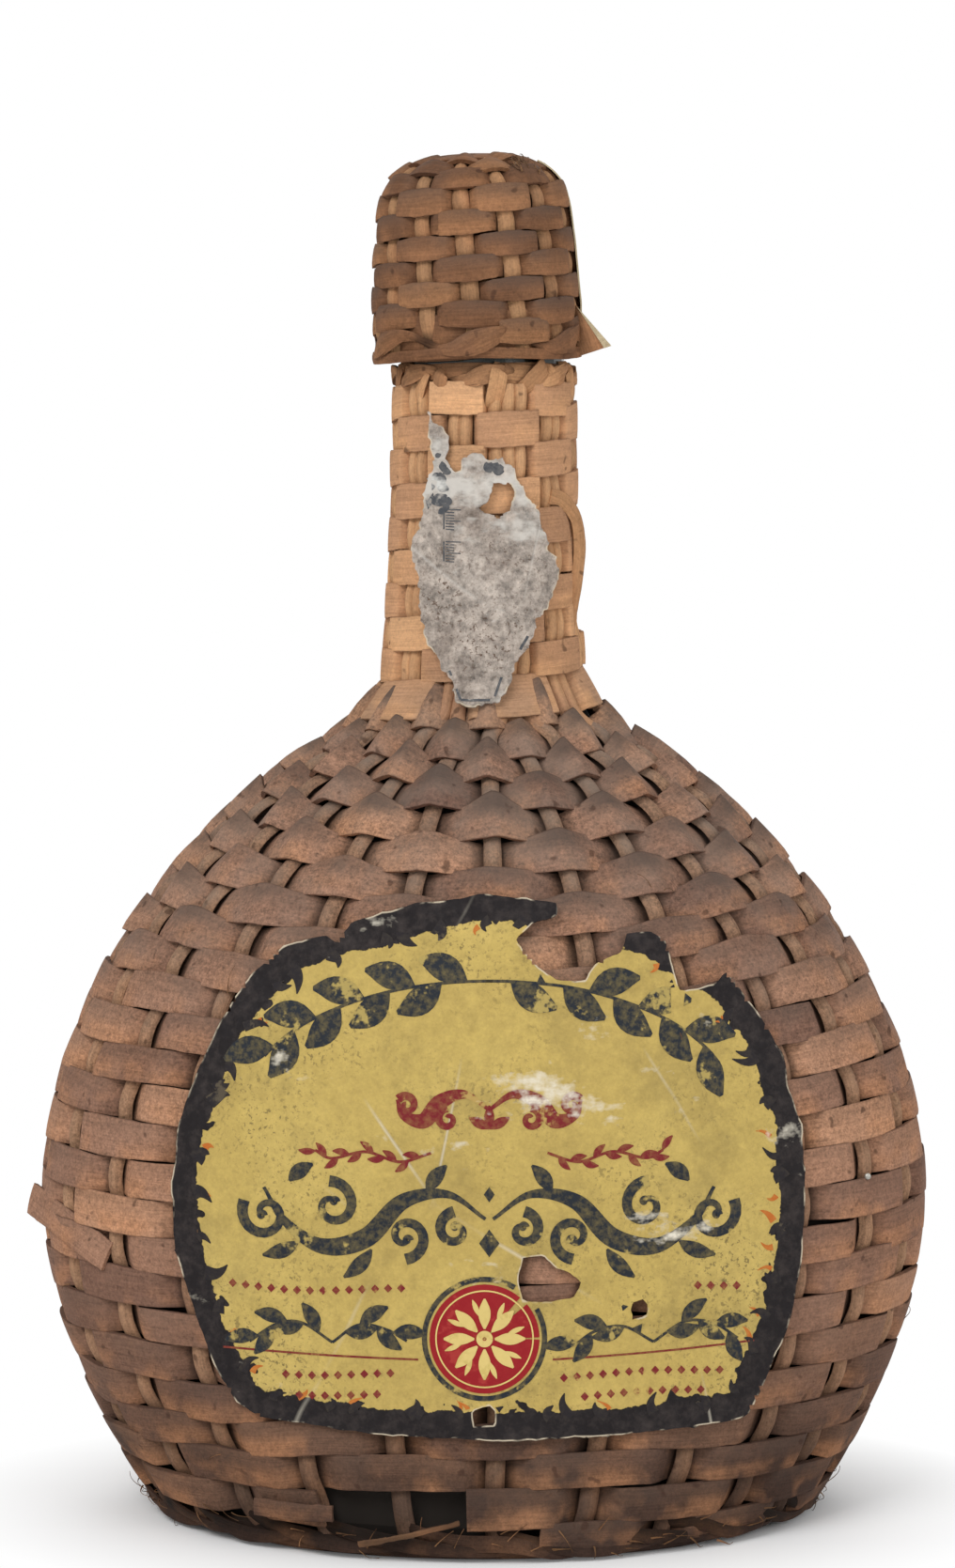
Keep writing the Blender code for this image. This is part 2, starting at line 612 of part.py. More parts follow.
def make_cap_splints(finish):
    foot, top = cap_weave_range()
    rows = int((top - foot) / (CAP_SPLINT_WIDTH + ROW_GAP))
    pitch = (top - foot) / rows
    crossings = (rows - 1) * CAP_STAKES
    run = CAP_TURNS_IN_A_SPLINT * CAP_STAKES
    pieces = []
    for number, start in enumerate(range(0, crossings, run)):
        rings = []
        for crossing in range(start, min(start + run, crossings)):
            travel = foot + pitch * (0.5 + crossing / CAP_STAKES)
            depth = CAP_SPLINT_THICKNESS / 2
            if crossing % 2:
                depth += CAP_SPLINT_THICKNESS + CAP_STAKE_THICKNESS + 2 * WEAVE_CLEARANCE
            radius = float(numpy.interp(travel, CAP_LENGTHS, CAP_RADII)) - CAP_WEAVE_DEPTH / 2
            margin = (cap_stake_width(travel) / 2 + WEAVE_CLEARANCE) / radius
            for side in (-1, 1):
                angle = cap_stake_angle(crossing, travel) + side * margin
                rings.append([cap_point(angle, travel, depth + face * CAP_SPLINT_THICKNESS / 2,
                                        lift * CAP_SPLINT_WIDTH / 2)
                              for face, lift in ((-1, -1), (-1, 1), (1, 1), (1, -1))])
        pieces.append(closed_body(f"cap_splint_{number + 1}", rings, finish))
    return pieces


def cap_level(angle, height, distance):
    radius = float(numpy.interp(height, CAP_HEIGHTS, CAP_RADII)) - distance
    return oval(angle, height, radius, radius)


def make_cap_tab(finish):
    """The paper strip down the +X side of the cap, with its lower end standing off."""
    shares = [TAB_TOP_SHARE + (TAB_END_SHARE - TAB_TOP_SHARE) * step / TAB_STEPS
              for step in range(TAB_STEPS + 1)]
    rings = []
    for share in shares:
        loose = max(TAB_LOOSE_SHARE - share, 0) / (TAB_LOOSE_SHARE - TAB_END_SHARE)
        middle = cap_point(math.pi / 2, share * CAP_OUTLINE_LENGTH,
                           -CLEARANCE - BORDER_BULGE - PAPER_THICKNESS - TAB_FLARE * loose)
        half = Vector((0, TAB_WIDTH / 2, 0))
        out = Vector((PAPER_THICKNESS / 2, 0, PAPER_THICKNESS / 4))
        rings.append((middle - half - out, middle - half + out, middle + half + out,
                      middle + half - out))
    return closed_body("cap_paper_tab", rings, finish)


# Papers pasted on the wicker
def make_paper(name, outline, half_size, centre_height, rings_out, finish):
    """A torn sheet that lies on the weave, built in rings from its middle to its edge."""
    mesh = bpy.data.meshes.new(name)
    shape = bmesh.new()

    def spot(share_across, share_up, side):
        height = centre_height + half_size[1] * share_up
        reach = half_size[0] * share_across / half_width(height)
        reach = min(max(reach, -WIDEST_PAPER_SHARE), WIDEST_PAPER_SHARE)
        depth = -PAPER_LIFT - PAPER_THICKNESS * side
        return shape.verts.new(skin_point(math.asin(reach), height, depth, 0))

    faces = []
    for side in (0, 1):
        middle = spot(0, 0, side)
        loops = [[spot(across * ring / rings_out, up * ring / rings_out, side)
                  for across, up in outline] for ring in range(1, rings_out + 1)]
        for i in range(len(outline)):
            j = (i + 1) % len(outline)
            shape.faces.new((middle, loops[0][i], loops[0][j]))
            for near, far in zip(loops, loops[1:]):
                shape.faces.new((near[i], near[j], far[j], far[i]))
        faces.append(loops[-1])
    for i in range(len(outline)):
        j = (i + 1) % len(outline)
        shape.faces.new((faces[0][i], faces[0][j], faces[1][j], faces[1][i]))
    return finished(name, mesh, shape, finish, smooth=True)


def empty(name, location, lean):
    axis = bpy.data.objects.new(name, None)
    bpy.context.scene.collection.objects.link(axis)
    axis.location = location
    axis.rotation_euler = (0, lean, 0)
    return axis


def main():
    for old in list(bpy.data.objects):
        bpy.data.objects.remove(old)

    willow = material("willow", (0.165, 0.105, 0.075), 0.75)
    pale_willow = material("pale_willow", (0.30, 0.19, 0.12), 0.7)
    neck_willow = material("neck_willow", (0.42, 0.24, 0.13), 0.7)
    cap_willow = material("cap_willow", (0.24, 0.14, 0.09), 0.75)
    glass = material("glass", (0.35, 0.45, 0.30), 0.08, transmission=0.9)
    cork = material("cork", (0.45, 0.28, 0.15), 0.85)
    label_paper = material("label_paper", (0.60, 0.46, 0.24), 0.8)
    seal_paper = material("seal_paper", (0.46, 0.43, 0.39), 0.85)

    make_glass(glass)
    make_cork(cork)
    for index in range(STAKES):
        make_stake(index, pale_willow)
    make_body_splints(willow)
    make_neck_splints(neck_willow)
    make_base_mat(willow)
    make_border("foot_border", inset, STAKES, 0, FOOT_BORDER_HEIGHT,
                WEAVE_DEPTH - CLEARANCE, willow)
    make_border("neck_border", inset, NECK_GROUPS, NECK_TOP_HEIGHT - NECK_BORDER_HEIGHT,
                NECK_TOP_HEIGHT, NECK_WEAVE_DEPTH - CLEARANCE, neck_willow)
    make_paper("front_label", LABEL_OUTLINE_SHARES, (LABEL_HALF_WIDTH, LABEL_HALF_HEIGHT),
               LABEL_CENTRE_HEIGHT, LABEL_RINGS, label_paper)
    make_paper("neck_seal", SEAL_OUTLINE_SHARES, (SEAL_HALF_WIDTH, SEAL_HALF_HEIGHT),
               SEAL_CENTRE_HEIGHT, SEAL_RINGS, seal_paper)

    cap_axis = empty("cap_axis", (0, 0, CAP_RIM_HEIGHT), CAP_LEAN)
    cap_pieces = [make_cap_frame(cap_willow)]
    cap_pieces += make_cap_splints(cap_willow)
    cap_pieces.append(make_border("cap_border", cap_level, CAP_STAKES, 0, CAP_BORDER_HEIGHT,
                                  CAP_WEAVE_DEPTH, cap_willow))
    cap_pieces.append(make_cap_tab(seal_paper))
    for piece in cap_pieces:
        piece.parent = cap_axis


main()
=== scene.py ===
"""A glass flask in a basket of split willow: its visible pieces, finishes, light and camera.

Metres, +Z up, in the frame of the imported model. Angles run round the flask from the labelled
side, which looks to -Y, towards +X. A crossing is a place where a splint passes a stake: the
splint lies over the stake at an even crossing, and behind it at an odd one.
"""

import logging
import math
from collections.abc import Callable, Sequence
from dataclasses import dataclass
from enum import Enum
from functools import cache, cached_property

import bpy
import numpy as np
from mathutils import Matrix


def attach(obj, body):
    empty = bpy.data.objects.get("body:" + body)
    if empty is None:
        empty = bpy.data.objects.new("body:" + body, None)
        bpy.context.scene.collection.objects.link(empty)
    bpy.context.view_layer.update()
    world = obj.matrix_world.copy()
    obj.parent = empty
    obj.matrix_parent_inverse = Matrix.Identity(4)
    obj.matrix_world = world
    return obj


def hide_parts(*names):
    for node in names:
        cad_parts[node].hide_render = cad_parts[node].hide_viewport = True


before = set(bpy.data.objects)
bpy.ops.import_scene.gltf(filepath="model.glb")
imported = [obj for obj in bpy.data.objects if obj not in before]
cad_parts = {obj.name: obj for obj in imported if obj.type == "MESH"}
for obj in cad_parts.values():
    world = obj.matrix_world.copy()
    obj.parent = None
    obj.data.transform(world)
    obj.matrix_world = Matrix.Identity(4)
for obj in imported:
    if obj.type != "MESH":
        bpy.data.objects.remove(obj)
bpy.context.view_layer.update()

Array = np.ndarray
Amount = np.ndarray | float
Colour = tuple[int, int, int]
Object = bpy.types.Object
Point = tuple[float, float, float]
Pixel = tuple[float, float]
Pixels = Sequence[Pixel]
Rows = Sequence[tuple[float, ...]]
Shares = Sequence[tuple[float, float]]
Socket = bpy.types.NodeSocket
Stroke = tuple[Array, Amount, int]
Surface = Callable[[Array, Array, Array], Array]
LOG = logging.getLogger("wicker_flask")

# Where a strip's vertices lie over its width, from one long edge (-1) to the other (1)
STRIP_COLUMNS = (-1.0, -0.93, -0.6, 0.0, 0.6, 0.93, 1.0)
STRAND_COLUMNS = (-1, -0.85, -0.3, 0.3, 0.85, 1)
STROKE_COLUMNS = (-1.0, 0.0, 1.0)
CENTIMETRE = 0.01
MILLIMETRE = 0.001
# Height of a layer of ink over the paper, and how thick each stroke is
INK_LAYER = 0.00001
INK_THICKNESS = 0.00005


class Home(Enum):
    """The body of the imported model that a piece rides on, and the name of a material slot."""

    BASKET = ("flask", "willow")
    STAKES = ("flask", "pale_willow")
    NECK = ("flask", "neck_willow")
    LABEL = ("flask", "label_paper")
    SEAL = ("flask", "seal_paper")
    CAP = ("cap", "cap_willow")
    TAB = ("cap", "seal_paper")
    CORK = ("cork", "cork")


# Numbers
def smoothstep(value: Amount, low: Amount, high: Amount) -> Array:
    """An eased step from 0 at low to 1 at high."""
    share = np.clip((np.asarray(value, float) - low) / (high - low), 0, 1)
    return share * share * (3 - 2 * share)


def unit(vectors: Array) -> Array:
    """Vectors scaled to length one along their last axis."""
    return vectors / np.linalg.norm(vectors, axis=-1, keepdims=True)


def drift(across: Array, up: Array, seed: int) -> Array:
    """Smooth noise over a plane, from -1 to 1, with one bump to a unit.

    Args:
        across: First coordinate of each place.
        up: Second coordinate of each place.
        seed: Which pattern to draw.

    Returns:
        The noise at each place.
    """
    size = 64
    grid = np.random.default_rng(seed).uniform(-1, 1, (size, size))
    across, up = np.broadcast_arrays(np.asarray(across, float), np.asarray(up, float))
    column, row = np.floor(across).astype(int), np.floor(up).astype(int)
    u, v = smoothstep(across - column, 0, 1), smoothstep(up - row, 0, 1)
    low, high = (grid[line % size, column % size] * (1 - u)
                 + grid[line % size, (column + 1) % size] * u for line in (row, row + 1))
    return low * (1 - v) + high * v


def eased(points: Shares, place: Array) -> Array:
    """A smooth curve through (place, value) points that never overshoots them.

    Args:
        points: The points, in order of place.
        place: Where to read the curve.

    Returns:
        The curve's values.
    """
    places, values = (np.array(column, float) for column in zip(*points))
    steps = np.diff(places)
    slopes = np.diff(values) / steps
    total = slopes[:-1] + slopes[1:]
    same_way = slopes[:-1] * slopes[1:] > 0
    bends = np.zeros(len(places))
    bends[1:-1] = np.where(same_way, 2 * slopes[:-1] * slopes[1:] / np.where(same_way, total, 1), 0)
    place = np.clip(place, places[0], places[-1])
    index = np.clip(np.searchsorted(places, place, side="right") - 1, 0, len(steps) - 1)
    t = (place - places[index]) / steps[index]
    return (values[index] * (1 + 2 * t) * (1 - t) ** 2 + values[index + 1] * t * t * (3 - 2 * t)
            + steps[index] * (bends[index] * t * (1 - t) ** 2 - bends[index + 1] * t * t * (1 - t)))


def through(points: Shares, count: int) -> Array:
    """A smooth open curve through points, as evenly stepped stations.

    Args:
        points: Points of any dimension, in order.
        count: How many stations to give.

    Returns:
        The stations, one row each.
    """
    knots = np.array(points, float)
    knots = np.vstack((2 * knots[0] - knots[1], knots, 2 * knots[-1] - knots[-2]))
    steps = np.linspace(0, len(points) - 1, count)
    index = np.minimum(steps.astype(int), len(points) - 2)
    t = (steps - index)[:, None]
    a, b, c, d = (knots[index + i] for i in range(4))
    return b + t * (c - a + t * (2 * a - 5 * b + 4 * c - d + t * (3 * b - a - 3 * c + d))) / 2


def travelled(points: Array) -> Array:
    """Distances along a line of points, from its first to each."""
    return np.concatenate(([0], np.cumsum(np.linalg.norm(np.diff(points, axis=0), axis=1))))


def read_along(points: Array, distances: Array, places: Amount) -> Array:
    """Points at places along a line whose points lie at the distances given."""
    return np.stack([np.interp(places, distances, column) for column in points.T], axis=-1)


# Surfaces
@dataclass(frozen=True)
class BasketSkin:
    """The outside of the weave on the flask's body and neck, as a surface to lay pieces on."""

    belly_half_width: float = 0.0727
    belly_half_depth: float = 0.0470
    belly_height: float = 0.0539
    foot_half_width: float = 0.0540
    foot_half_depth: float = 0.0475
    neck_foot_height: float = 0.1387
    neck_top_height: float = 0.1873
    neck_foot_radius: float = 0.0169
    neck_top_radius: float = 0.0152
    weave_foot: float = 0.0053
    weave_change: float = 0.1304
    width_shares: Shares = ((0, 1), (0.16, 0.968), (0.34, 0.875), (0.525, 0.716),
                            (0.70, 0.475), (0.80, 0.295), (0.89, 0.104), (1, 0))
    depth_shares: Shares = ((0, 1), (0.16, 0.985), (0.34, 0.925), (0.525, 0.795),
                            (0.70, 0.555), (0.80, 0.355), (0.89, 0.130), (1, 0))
    probe: float = 0.00005

    def half(self, height: Array, foot: float, belly: float, shares: Shares) -> Array:
        """Half the basket's width or depth at each height.

        Args:
            height: Heights over the floor.
            foot: The half size at the foot.
            belly: The half size at the belly.
            shares: The shoulder's outline.

        Returns:
            The half sizes.
        """
        low = foot + (belly - foot) * (1 - (1 - height / self.belly_height) ** 2)
        rise = (height - self.belly_height) / (self.neck_foot_height - self.belly_height)
        shoulder = self.neck_foot_radius + (belly - self.neck_foot_radius) * eased(shares, rise)
        climb = ((height - self.neck_foot_height) / (self.neck_top_height - self.neck_foot_height))
        neck = (self.neck_top_radius + (self.neck_foot_radius - self.neck_top_radius) * (1 - climb) ** 2)
        return np.where(height <= self.belly_height, low,
                        np.where(height <= self.neck_foot_height, shoulder, neck))

    def half_width(self, height: Array) -> Array:
        """Half the width at each height."""
        return self.half(height, self.foot_half_width, self.belly_half_width, self.width_shares)

    def half_depth(self, height: Array) -> Array:
        """Half the depth at each height."""
        return self.half(height, self.foot_half_depth, self.belly_half_depth, self.depth_shares)

    def outer(self, angle: Array, height: Array) -> Array:
        """Points on the outside of the weave."""
        return np.stack((self.half_width(height) * np.sin(angle),
                         -self.half_depth(height) * np.cos(angle), height * np.ones_like(angle)), axis=-1)

    def axes(self, angle: Array, height: Array) -> tuple[Array, Array]:
        """Directions up and out of the surface.

        Args:
            angle: Angle of each place.
            height: Height of each place.

        Returns:
            The two unit vectors at each place.
        """
        turn = self.probe / self.belly_half_width
        across = unit(self.outer(angle + turn, height) - self.outer(angle - turn, height))
        up = unit(self.outer(angle, height + self.probe) - self.outer(angle, height - self.probe))
        return up, unit(np.cross(across, up))

    def point(self, angle: Array, height: Array, depth: Array) -> Array:
        """Points under the outside of the weave.

        Args:
            angle: Angle of each place.
            height: Height of each place.
            depth: Its depth under the outside.

        Returns:
            The points.
        """
        angle, height = np.broadcast_arrays(np.asarray(angle, float), np.asarray(height, float))
        outward = self.axes(angle, height)[1]
        return self.outer(angle, height) - outward * np.asarray(depth, float)[..., None]

    def height_table(self, stations: int, turns: int) -> tuple[Array, Array, Array]:
        """Heights at equal shares along the body's stakes.

        Args:
            stations: How many shares.
            turns: How many angles, the first and the last being the same.

        Returns:
            The angles, the heights (angles, shares), and the stakes' lengths.
        """
        angles = np.linspace(0, math.tau, turns)
        heights = np.linspace(self.weave_foot, self.weave_change, stations)
        lengths = [travelled(self.outer(np.full(stations, angle), heights)) for angle in angles]
        table = [np.interp(np.linspace(0, 1, stations), length / length[-1], heights)
                 for length in lengths]
        return angles, np.array(table), np.array([length[-1] for length in lengths])


SKIN = BasketSkin()
ANGLES, HEIGHTS, LENGTHS = SKIN.height_table(161, 49)


def height_on_stake(angle: Array, share: Array) -> Array:
    """The height at a share of the way along the body's stretch of a stake.

    Args:
        angle: Where the stake stands.
        share: How far along it; outside 0 to 1 the last slope goes on.

    Returns:
        The heights.
    """
    last_column, last_row = HEIGHTS.shape[0] - 1, HEIGHTS.shape[1] - 1
    column = np.mod(angle, math.tau) / math.tau * last_column
    row = np.clip(share, 0, 1) * last_row
    i = np.minimum(column.astype(int), last_column - 1)
    j = np.minimum(row.astype(int), last_row - 1)
    u, v = column - i, row - j
    low, high = (HEIGHTS[line, j] * (1 - v) + HEIGHTS[line, j + 1] * v for line in (i, i + 1))
    beyond = (share - np.clip(share, 0, 1)) * (SKIN.weave_change - SKIN.weave_foot)
    return low * (1 - u) + high * u + beyond


# Meshes
def places_of(piece: Object) -> Array:
    """Read where a piece's vertices lie.

    Args:
        piece: The piece.

    Returns:
        Their places, one row each.
    """
    flat = np.empty(len(piece.data.vertices) * 3)
    piece.data.vertices.foreach_get("co", flat)
    return flat.reshape(-1, 3)


def keep_numbers(mesh: bpy.types.Mesh, **values: Array) -> None:
    """Store a number for each of a mesh's vertices, by attribute name."""
    for name, numbers in values.items():
        mesh.attributes.new(name, "FLOAT", "POINT").data.foreach_set(
            "value", np.ascontiguousarray(numbers, dtype=float))


def shape(piece: Object, places: Array, flat: Array) -> None:
    """Move a piece's vertices.

    Args:
        piece: The piece.
        places: Places of its vertices.
        flat: Their places on its UV map.
    """
    mesh = piece.data
    mesh.vertices.foreach_set("co", places.ravel())
    corner = np.empty(len(mesh.loops), int)
    mesh.loops.foreach_get("vertex_index", corner)
    mesh.uv_layers.active.data.foreach_set("uv", flat[corner].ravel())


def new_grid(columns: int, rows: int) -> tuple[Object, Array]:
    """Add a flat grid of faces.

    Args:
        columns: How many faces along it.
        rows: How many faces over it.

    Returns:
        The grid, and how far along and over it each vertex lies, 0 to 1.
    """
    bpy.ops.object.select_all(action="DESELECT")
    bpy.ops.mesh.primitive_grid_add(x_subdivisions=columns, y_subdivisions=rows, size=1)
    return bpy.context.object, places_of(bpy.context.object)[:, :2] + 0.5


def thicken(piece: Object, thickness: float) -> None:
    """Give a sheet a wall inwards from its face.

    Args:
        piece: The sheet.
        thickness: The wall's thickness.
    """
    solidify = piece.modifiers.new("wall", "SOLIDIFY")
    solidify.thickness = thickness
    solidify.offset = -1
    bpy.ops.object.modifier_apply(modifier=solidify.name)


def lay_grid(positions: Array, across: Sequence[float], tone: Amount,
             wear: Amount, thickness: float) -> Object:
    """A rectangular grid of faces wrapped onto rows of positions.

    Args:
        positions: Points (stations, columns, 3).
        across: Share of each column over the width, -1 to 1.
        tone: Colour share of each station.
        wear: How far each station stands out of the weave, 0 to 1.
        thickness: Wall given to the grid, inwards.

    Returns:
        The new object, with a UV map in centimetres along and over the grid.
    """
    stations, columns = positions.shape[:2]
    piece, shares = new_grid(stations - 1, columns - 1)
    station, column = np.rint(shares * (stations - 1, columns - 1)).astype(int).T
    middle = positions[:, columns // 2]
    over = np.linalg.norm(positions - middle[:, None], axis=2) * np.sign(across)
    flat = np.stack((travelled(middle)[station], over[station, column]), axis=1) / CENTIMETRE
    shape(piece, positions[station, column], flat)
    keep_numbers(piece.data, tone=np.broadcast_to(tone, stations)[station],
                 wear=np.broadcast_to(wear, stations)[station],
                 edge=np.abs(np.asarray(across, float))[column])
    thicken(piece, thickness)
    return piece


@dataclass
class Course:
    """The line that a strip follows.

    Attributes:
        middle: Points along the middle of the strip's outer face.
        across: Unit vectors over its width.
        outward: Unit vectors out of its face.
    """

    middle: Array
    across: Array
    outward: Array

    def turned(self, twist: Amount) -> "Course":
        """The same line with the strip twisted about it, in radians at each station."""
        cos, sin = (np.broadcast_to(wave(twist), len(self.middle))[:, None] for wave in (np.cos, np.sin))
        return Course(self.middle, self.across * cos + self.outward * sin,
                      self.outward * cos - self.across * sin)

    @staticmethod
    def along(points: Array, outward: Array) -> "Course":
        """A course along a line of points.

        Args:
            points: The points.
            outward: Roughly where the strip faces at each.

        Returns:
            The course.
        """
        tangent = unit(np.gradient(points, axis=0))
        across = unit(np.cross(outward, tangent))
        return Course(points, across, unit(np.cross(tangent, across)))

    @staticmethod
    def over(surface: Surface, angle: Array, height: Array, depth: Array) -> "Course":
        """A course through stations of a surface that gives points for such coordinates."""
        points = surface(angle, height, depth)
        return Course.along(points, unit(surface(angle, height, depth - MILLIMETRE) - points))


def lay_strip(course: Course, half_width: Amount, crown: Amount,
              thickness: float, tone: Amount = 0.5, wear: Amount = 0.5,
              roughness: float = 0.0, seed: int = 0, hollow: float = 2.2,
              peak: Amount = 0.0, columns: Sequence[float] = STRIP_COLUMNS) -> Object:
    """A strip of willow laid along a course.

    Args:
        course: The line that it follows.
        half_width: Half its width at each station.
        crown: How far its long edges lie under its middle.
        thickness: Its thickness.
        tone: Colour share at each station.
        wear: How far each station stands out of the weave, 0 to 1.
        roughness: How far its long edges wander.
        seed: Which wandering to draw.
        hollow: Power with which the crown falls off towards the edges.
        peak: How far its upper edge is drawn up and out at each station.
        columns: Where its vertices lie over its width.

    Returns:
        The new object.
    """
    stations = len(course.middle)
    across = np.asarray(columns, float)
    half = np.broadcast_to(half_width, stations)[:, None] * np.ones(len(across))
    if roughness:
        places = np.arange(stations) / 3
        for side, row in ((-1, 0.3), (1, 7.3)):
            ragged = 0.65 * drift(places, row, seed) + 0.35 * drift(places * 3.1, row + 3, seed)
            half[:, across * side > 0.8] += (roughness * ragged)[:, None]
    fall = np.broadcast_to(crown, stations)[:, None] * np.abs(across) ** hollow
    drawn = np.broadcast_to(peak, stations)[:, None] * np.maximum(across, 0) ** 2
    positions = (course.middle[:, None] + course.across[:, None] * (half * across + drawn)[..., None]
                 - course.outward[:, None] * (fall - 0.35 * drawn)[..., None])
    return lay_grid(positions, across, tone=tone, wear=wear, thickness=thickness)


def lay_fibre(course: Course, half_width: float, tone: float) -> Object:
    """A loose fibre that tapers to its end."""
    taper = half_width * (1.05 - np.linspace(0, 1, len(course.middle)))
    return lay_strip(course, taper, crown=0.00003, thickness=0.00008, tone=tone, wear=0.7,
                     columns=STROKE_COLUMNS)


# Finishes
def srgb(colour: Colour) -> tuple[float, float, float, float]:
    """A colour given as screen values, 0 to 255, as the shader takes it."""
    shares = [value / 255 for value in colour]
    return tuple(share / 12.92 if share <= 0.04045 else ((share + 0.055) / 1.055) ** 2.4
                 for share in shares) + (1.0,)


class Recipe:
    """The nodes of a material or a world, added and linked from code."""

    def __init__(self, owner: bpy.types.Material | bpy.types.World) -> None:
        """Start with no nodes.

        Args:
            owner: What the nodes belong to.
        """
        owner.use_nodes = True
        self.tree = owner.node_tree
        self.tree.nodes.clear()

    def add(self, kind: str, inputs: dict, **settings: object) -> bpy.types.Node:
        """Add a node.

        Args:
            kind: Blender's type name without its ShaderNode prefix.
            inputs: Values or sockets, by input name or number.
            **settings: The node's own settings.

        Returns:
            The node.
        """
        node = self.tree.nodes.new("ShaderNode" + kind)
        for name, value in settings.items():
            setattr(node, name, value)
        for key, value in inputs.items():
            if isinstance(value, Socket):
                self.tree.links.new(value, node.inputs[key])
            else:
                node.inputs[key].default_value = value
        return node

    @cached_property
    def place(self) -> Socket:
        """The place in the model, in metres."""
        return self.add("TexCoord", {}).outputs["Object"]

    @cached_property
    def height(self) -> Socket:
        """The height over the floor, in metres."""
        return self.part(self.place, "Z")

    def part(self, vector: Socket, axis: str) -> Socket:
        """One coordinate of a vector."""
        return self.add("SeparateXYZ", {"Vector": vector}).outputs[axis]

    def attribute(self, name: str) -> Socket:
        """A number stored on the piece's vertices."""
        return self.add("Attribute", {}, attribute_name=name).outputs["Fac"]

    def scaled(self, vector: Socket, *scale: float) -> Socket:
        """A vector scaled along each axis."""
        return self.add("Mapping", {"Vector": vector, "Scale": scale}).outputs[0]

    def lengthwise(self, along: float, over: float) -> Socket:
        """The place on the strip, with so many waves to a centimetre each way."""
        uv = self.add("UVMap", {}, uv_map="UVMap").outputs["UV"]
        return self.scaled(uv, along, over, 1)

    def noise(self, scale: float, detail: float = 2.0, roughness: float = 0.55,
              vector: Socket | None = None) -> Socket:
        """Cloudy noise from 0 to 1, over the model unless a vector is given."""
        inputs = {"Vector": vector or self.place, "Scale": scale, "Detail": detail,
                  "Roughness": roughness}
        return self.add("TexNoise", inputs).outputs["Fac"]

    def step(self, value: Socket, low: float, high: float, start: float = 0.0,
             end: float = 1.0) -> Socket:
        """A value's range taken to another, and held at its ends."""
        return self.add("MapRange", {"Value": value, "From Min": low, "From Max": high,
                                     "To Min": start, "To Max": end}).outputs["Result"]

    def chain(self, kind: str, first: object, *others: object) -> Socket:
        """Numbers joined in turn by an operation, such as MAXIMUM."""
        for other in others:
            first = self.add("Math", {0: first, 1: other}, operation=kind).outputs[0]
        return first

    def plus(self, *values: object) -> Socket:
        """The sum of numbers."""
        return self.chain("ADD", *values)

    def times(self, *values: object) -> Socket:
        """The product of numbers."""
        return self.chain("MULTIPLY", *values)

    def mix(self, share: object, first: object, second: object) -> Socket:
        """Two colours mixed by a share."""
        return self.add("Mix", {0: share, 6: first, 7: second}, data_type="RGBA").outputs[2]

    def tinted(self, colour: object, tint: Colour, *shares: object) -> Socket:
        """A colour with a tint over it, as strong as the product of the shares."""
        return self.mix(self.times(*shares), colour, srgb(tint))

    def lit(self, colour: Socket, value: Socket) -> Socket:
        """A colour made lighter or darker by a factor."""
        return self.add("HueSaturation", {"Color": colour, "Value": value}).outputs["Color"]

    def ramp(self, value: Socket, colours: Sequence[Colour]) -> Socket:
        """Colours spread evenly over a value.

        Args:
            value: The value, from 0 to 1.
            colours: The colours, in order.

        Returns:
            The colour at the value.
        """
        node = self.add("ValToRGB", {"Fac": value})
        stops = node.color_ramp.elements
        while len(stops) < len(colours):
            stops.new(0.5)
        for index, colour in enumerate(colours):
            stops[index].position = index / (len(colours) - 1)
            stops[index].color = srgb(colour)
        return node.outputs["Color"]

    def rubbed(self) -> Socket:
        """Upright scuffs, from 0 to 1, that print is rubbed off along."""
        return self.plus(self.noise(62, 6, 0.6, self.scaled(self.place, 0.6, 0.6, 1.5)),
                         self.step(self.noise(700), 0.3, 0.7, -0.03, 0.03))

    def seen(self) -> Socket:
        """Whether a ray is seen by the camera, straight or in gloss or glass."""
        path = self.add("LightPath", {}).outputs
        return self.chain("MAXIMUM", path["Is Camera Ray"], path["Is Glossy Ray"],
                          path["Is Transmission Ray"])

    def surface(self, colour: object, roughness: object, relief: object = None,
                strength: float = 0.3, height: float = 0.0004, **constants: object) -> None:
        """Add the shader and its output.

        Args:
            colour: Base colour.
            roughness: Roughness.
            relief: Height from 0 to 1 for the bump.
            strength: The bump's strength.
            height: The bump's distance.
            **constants: Plain values of the shader's other sockets, with _ for blanks.
        """
        inputs = {"Base Color": colour, "Roughness": roughness}
        inputs.update({name.replace("_", " "): value for name, value in constants.items()})
        if relief is not None:
            inputs["Normal"] = self.add("Bump", {"Height": relief, "Strength": strength,
                                                 "Distance": height}).outputs["Normal"]
        shader = self.add("BsdfPrincipled", inputs)
        self.add("OutputMaterial", {"Surface": shader.outputs[0]})


@dataclass(frozen=True)
class Finish:
    """A named material that is made when the first piece asks for it."""

    name: str

    def mix(self, make: Recipe) -> None:
        """Add the material's nodes.

        Args:
            make: What adds them.
        """
        raise NotImplementedError

    @cache
    def material(self) -> bpy.types.Material:
        """Make the material.

        Returns:
            The material, the same one at each call.
        """
        material = bpy.data.materials.new(self.name)
        self.mix(Recipe(material))
        return material


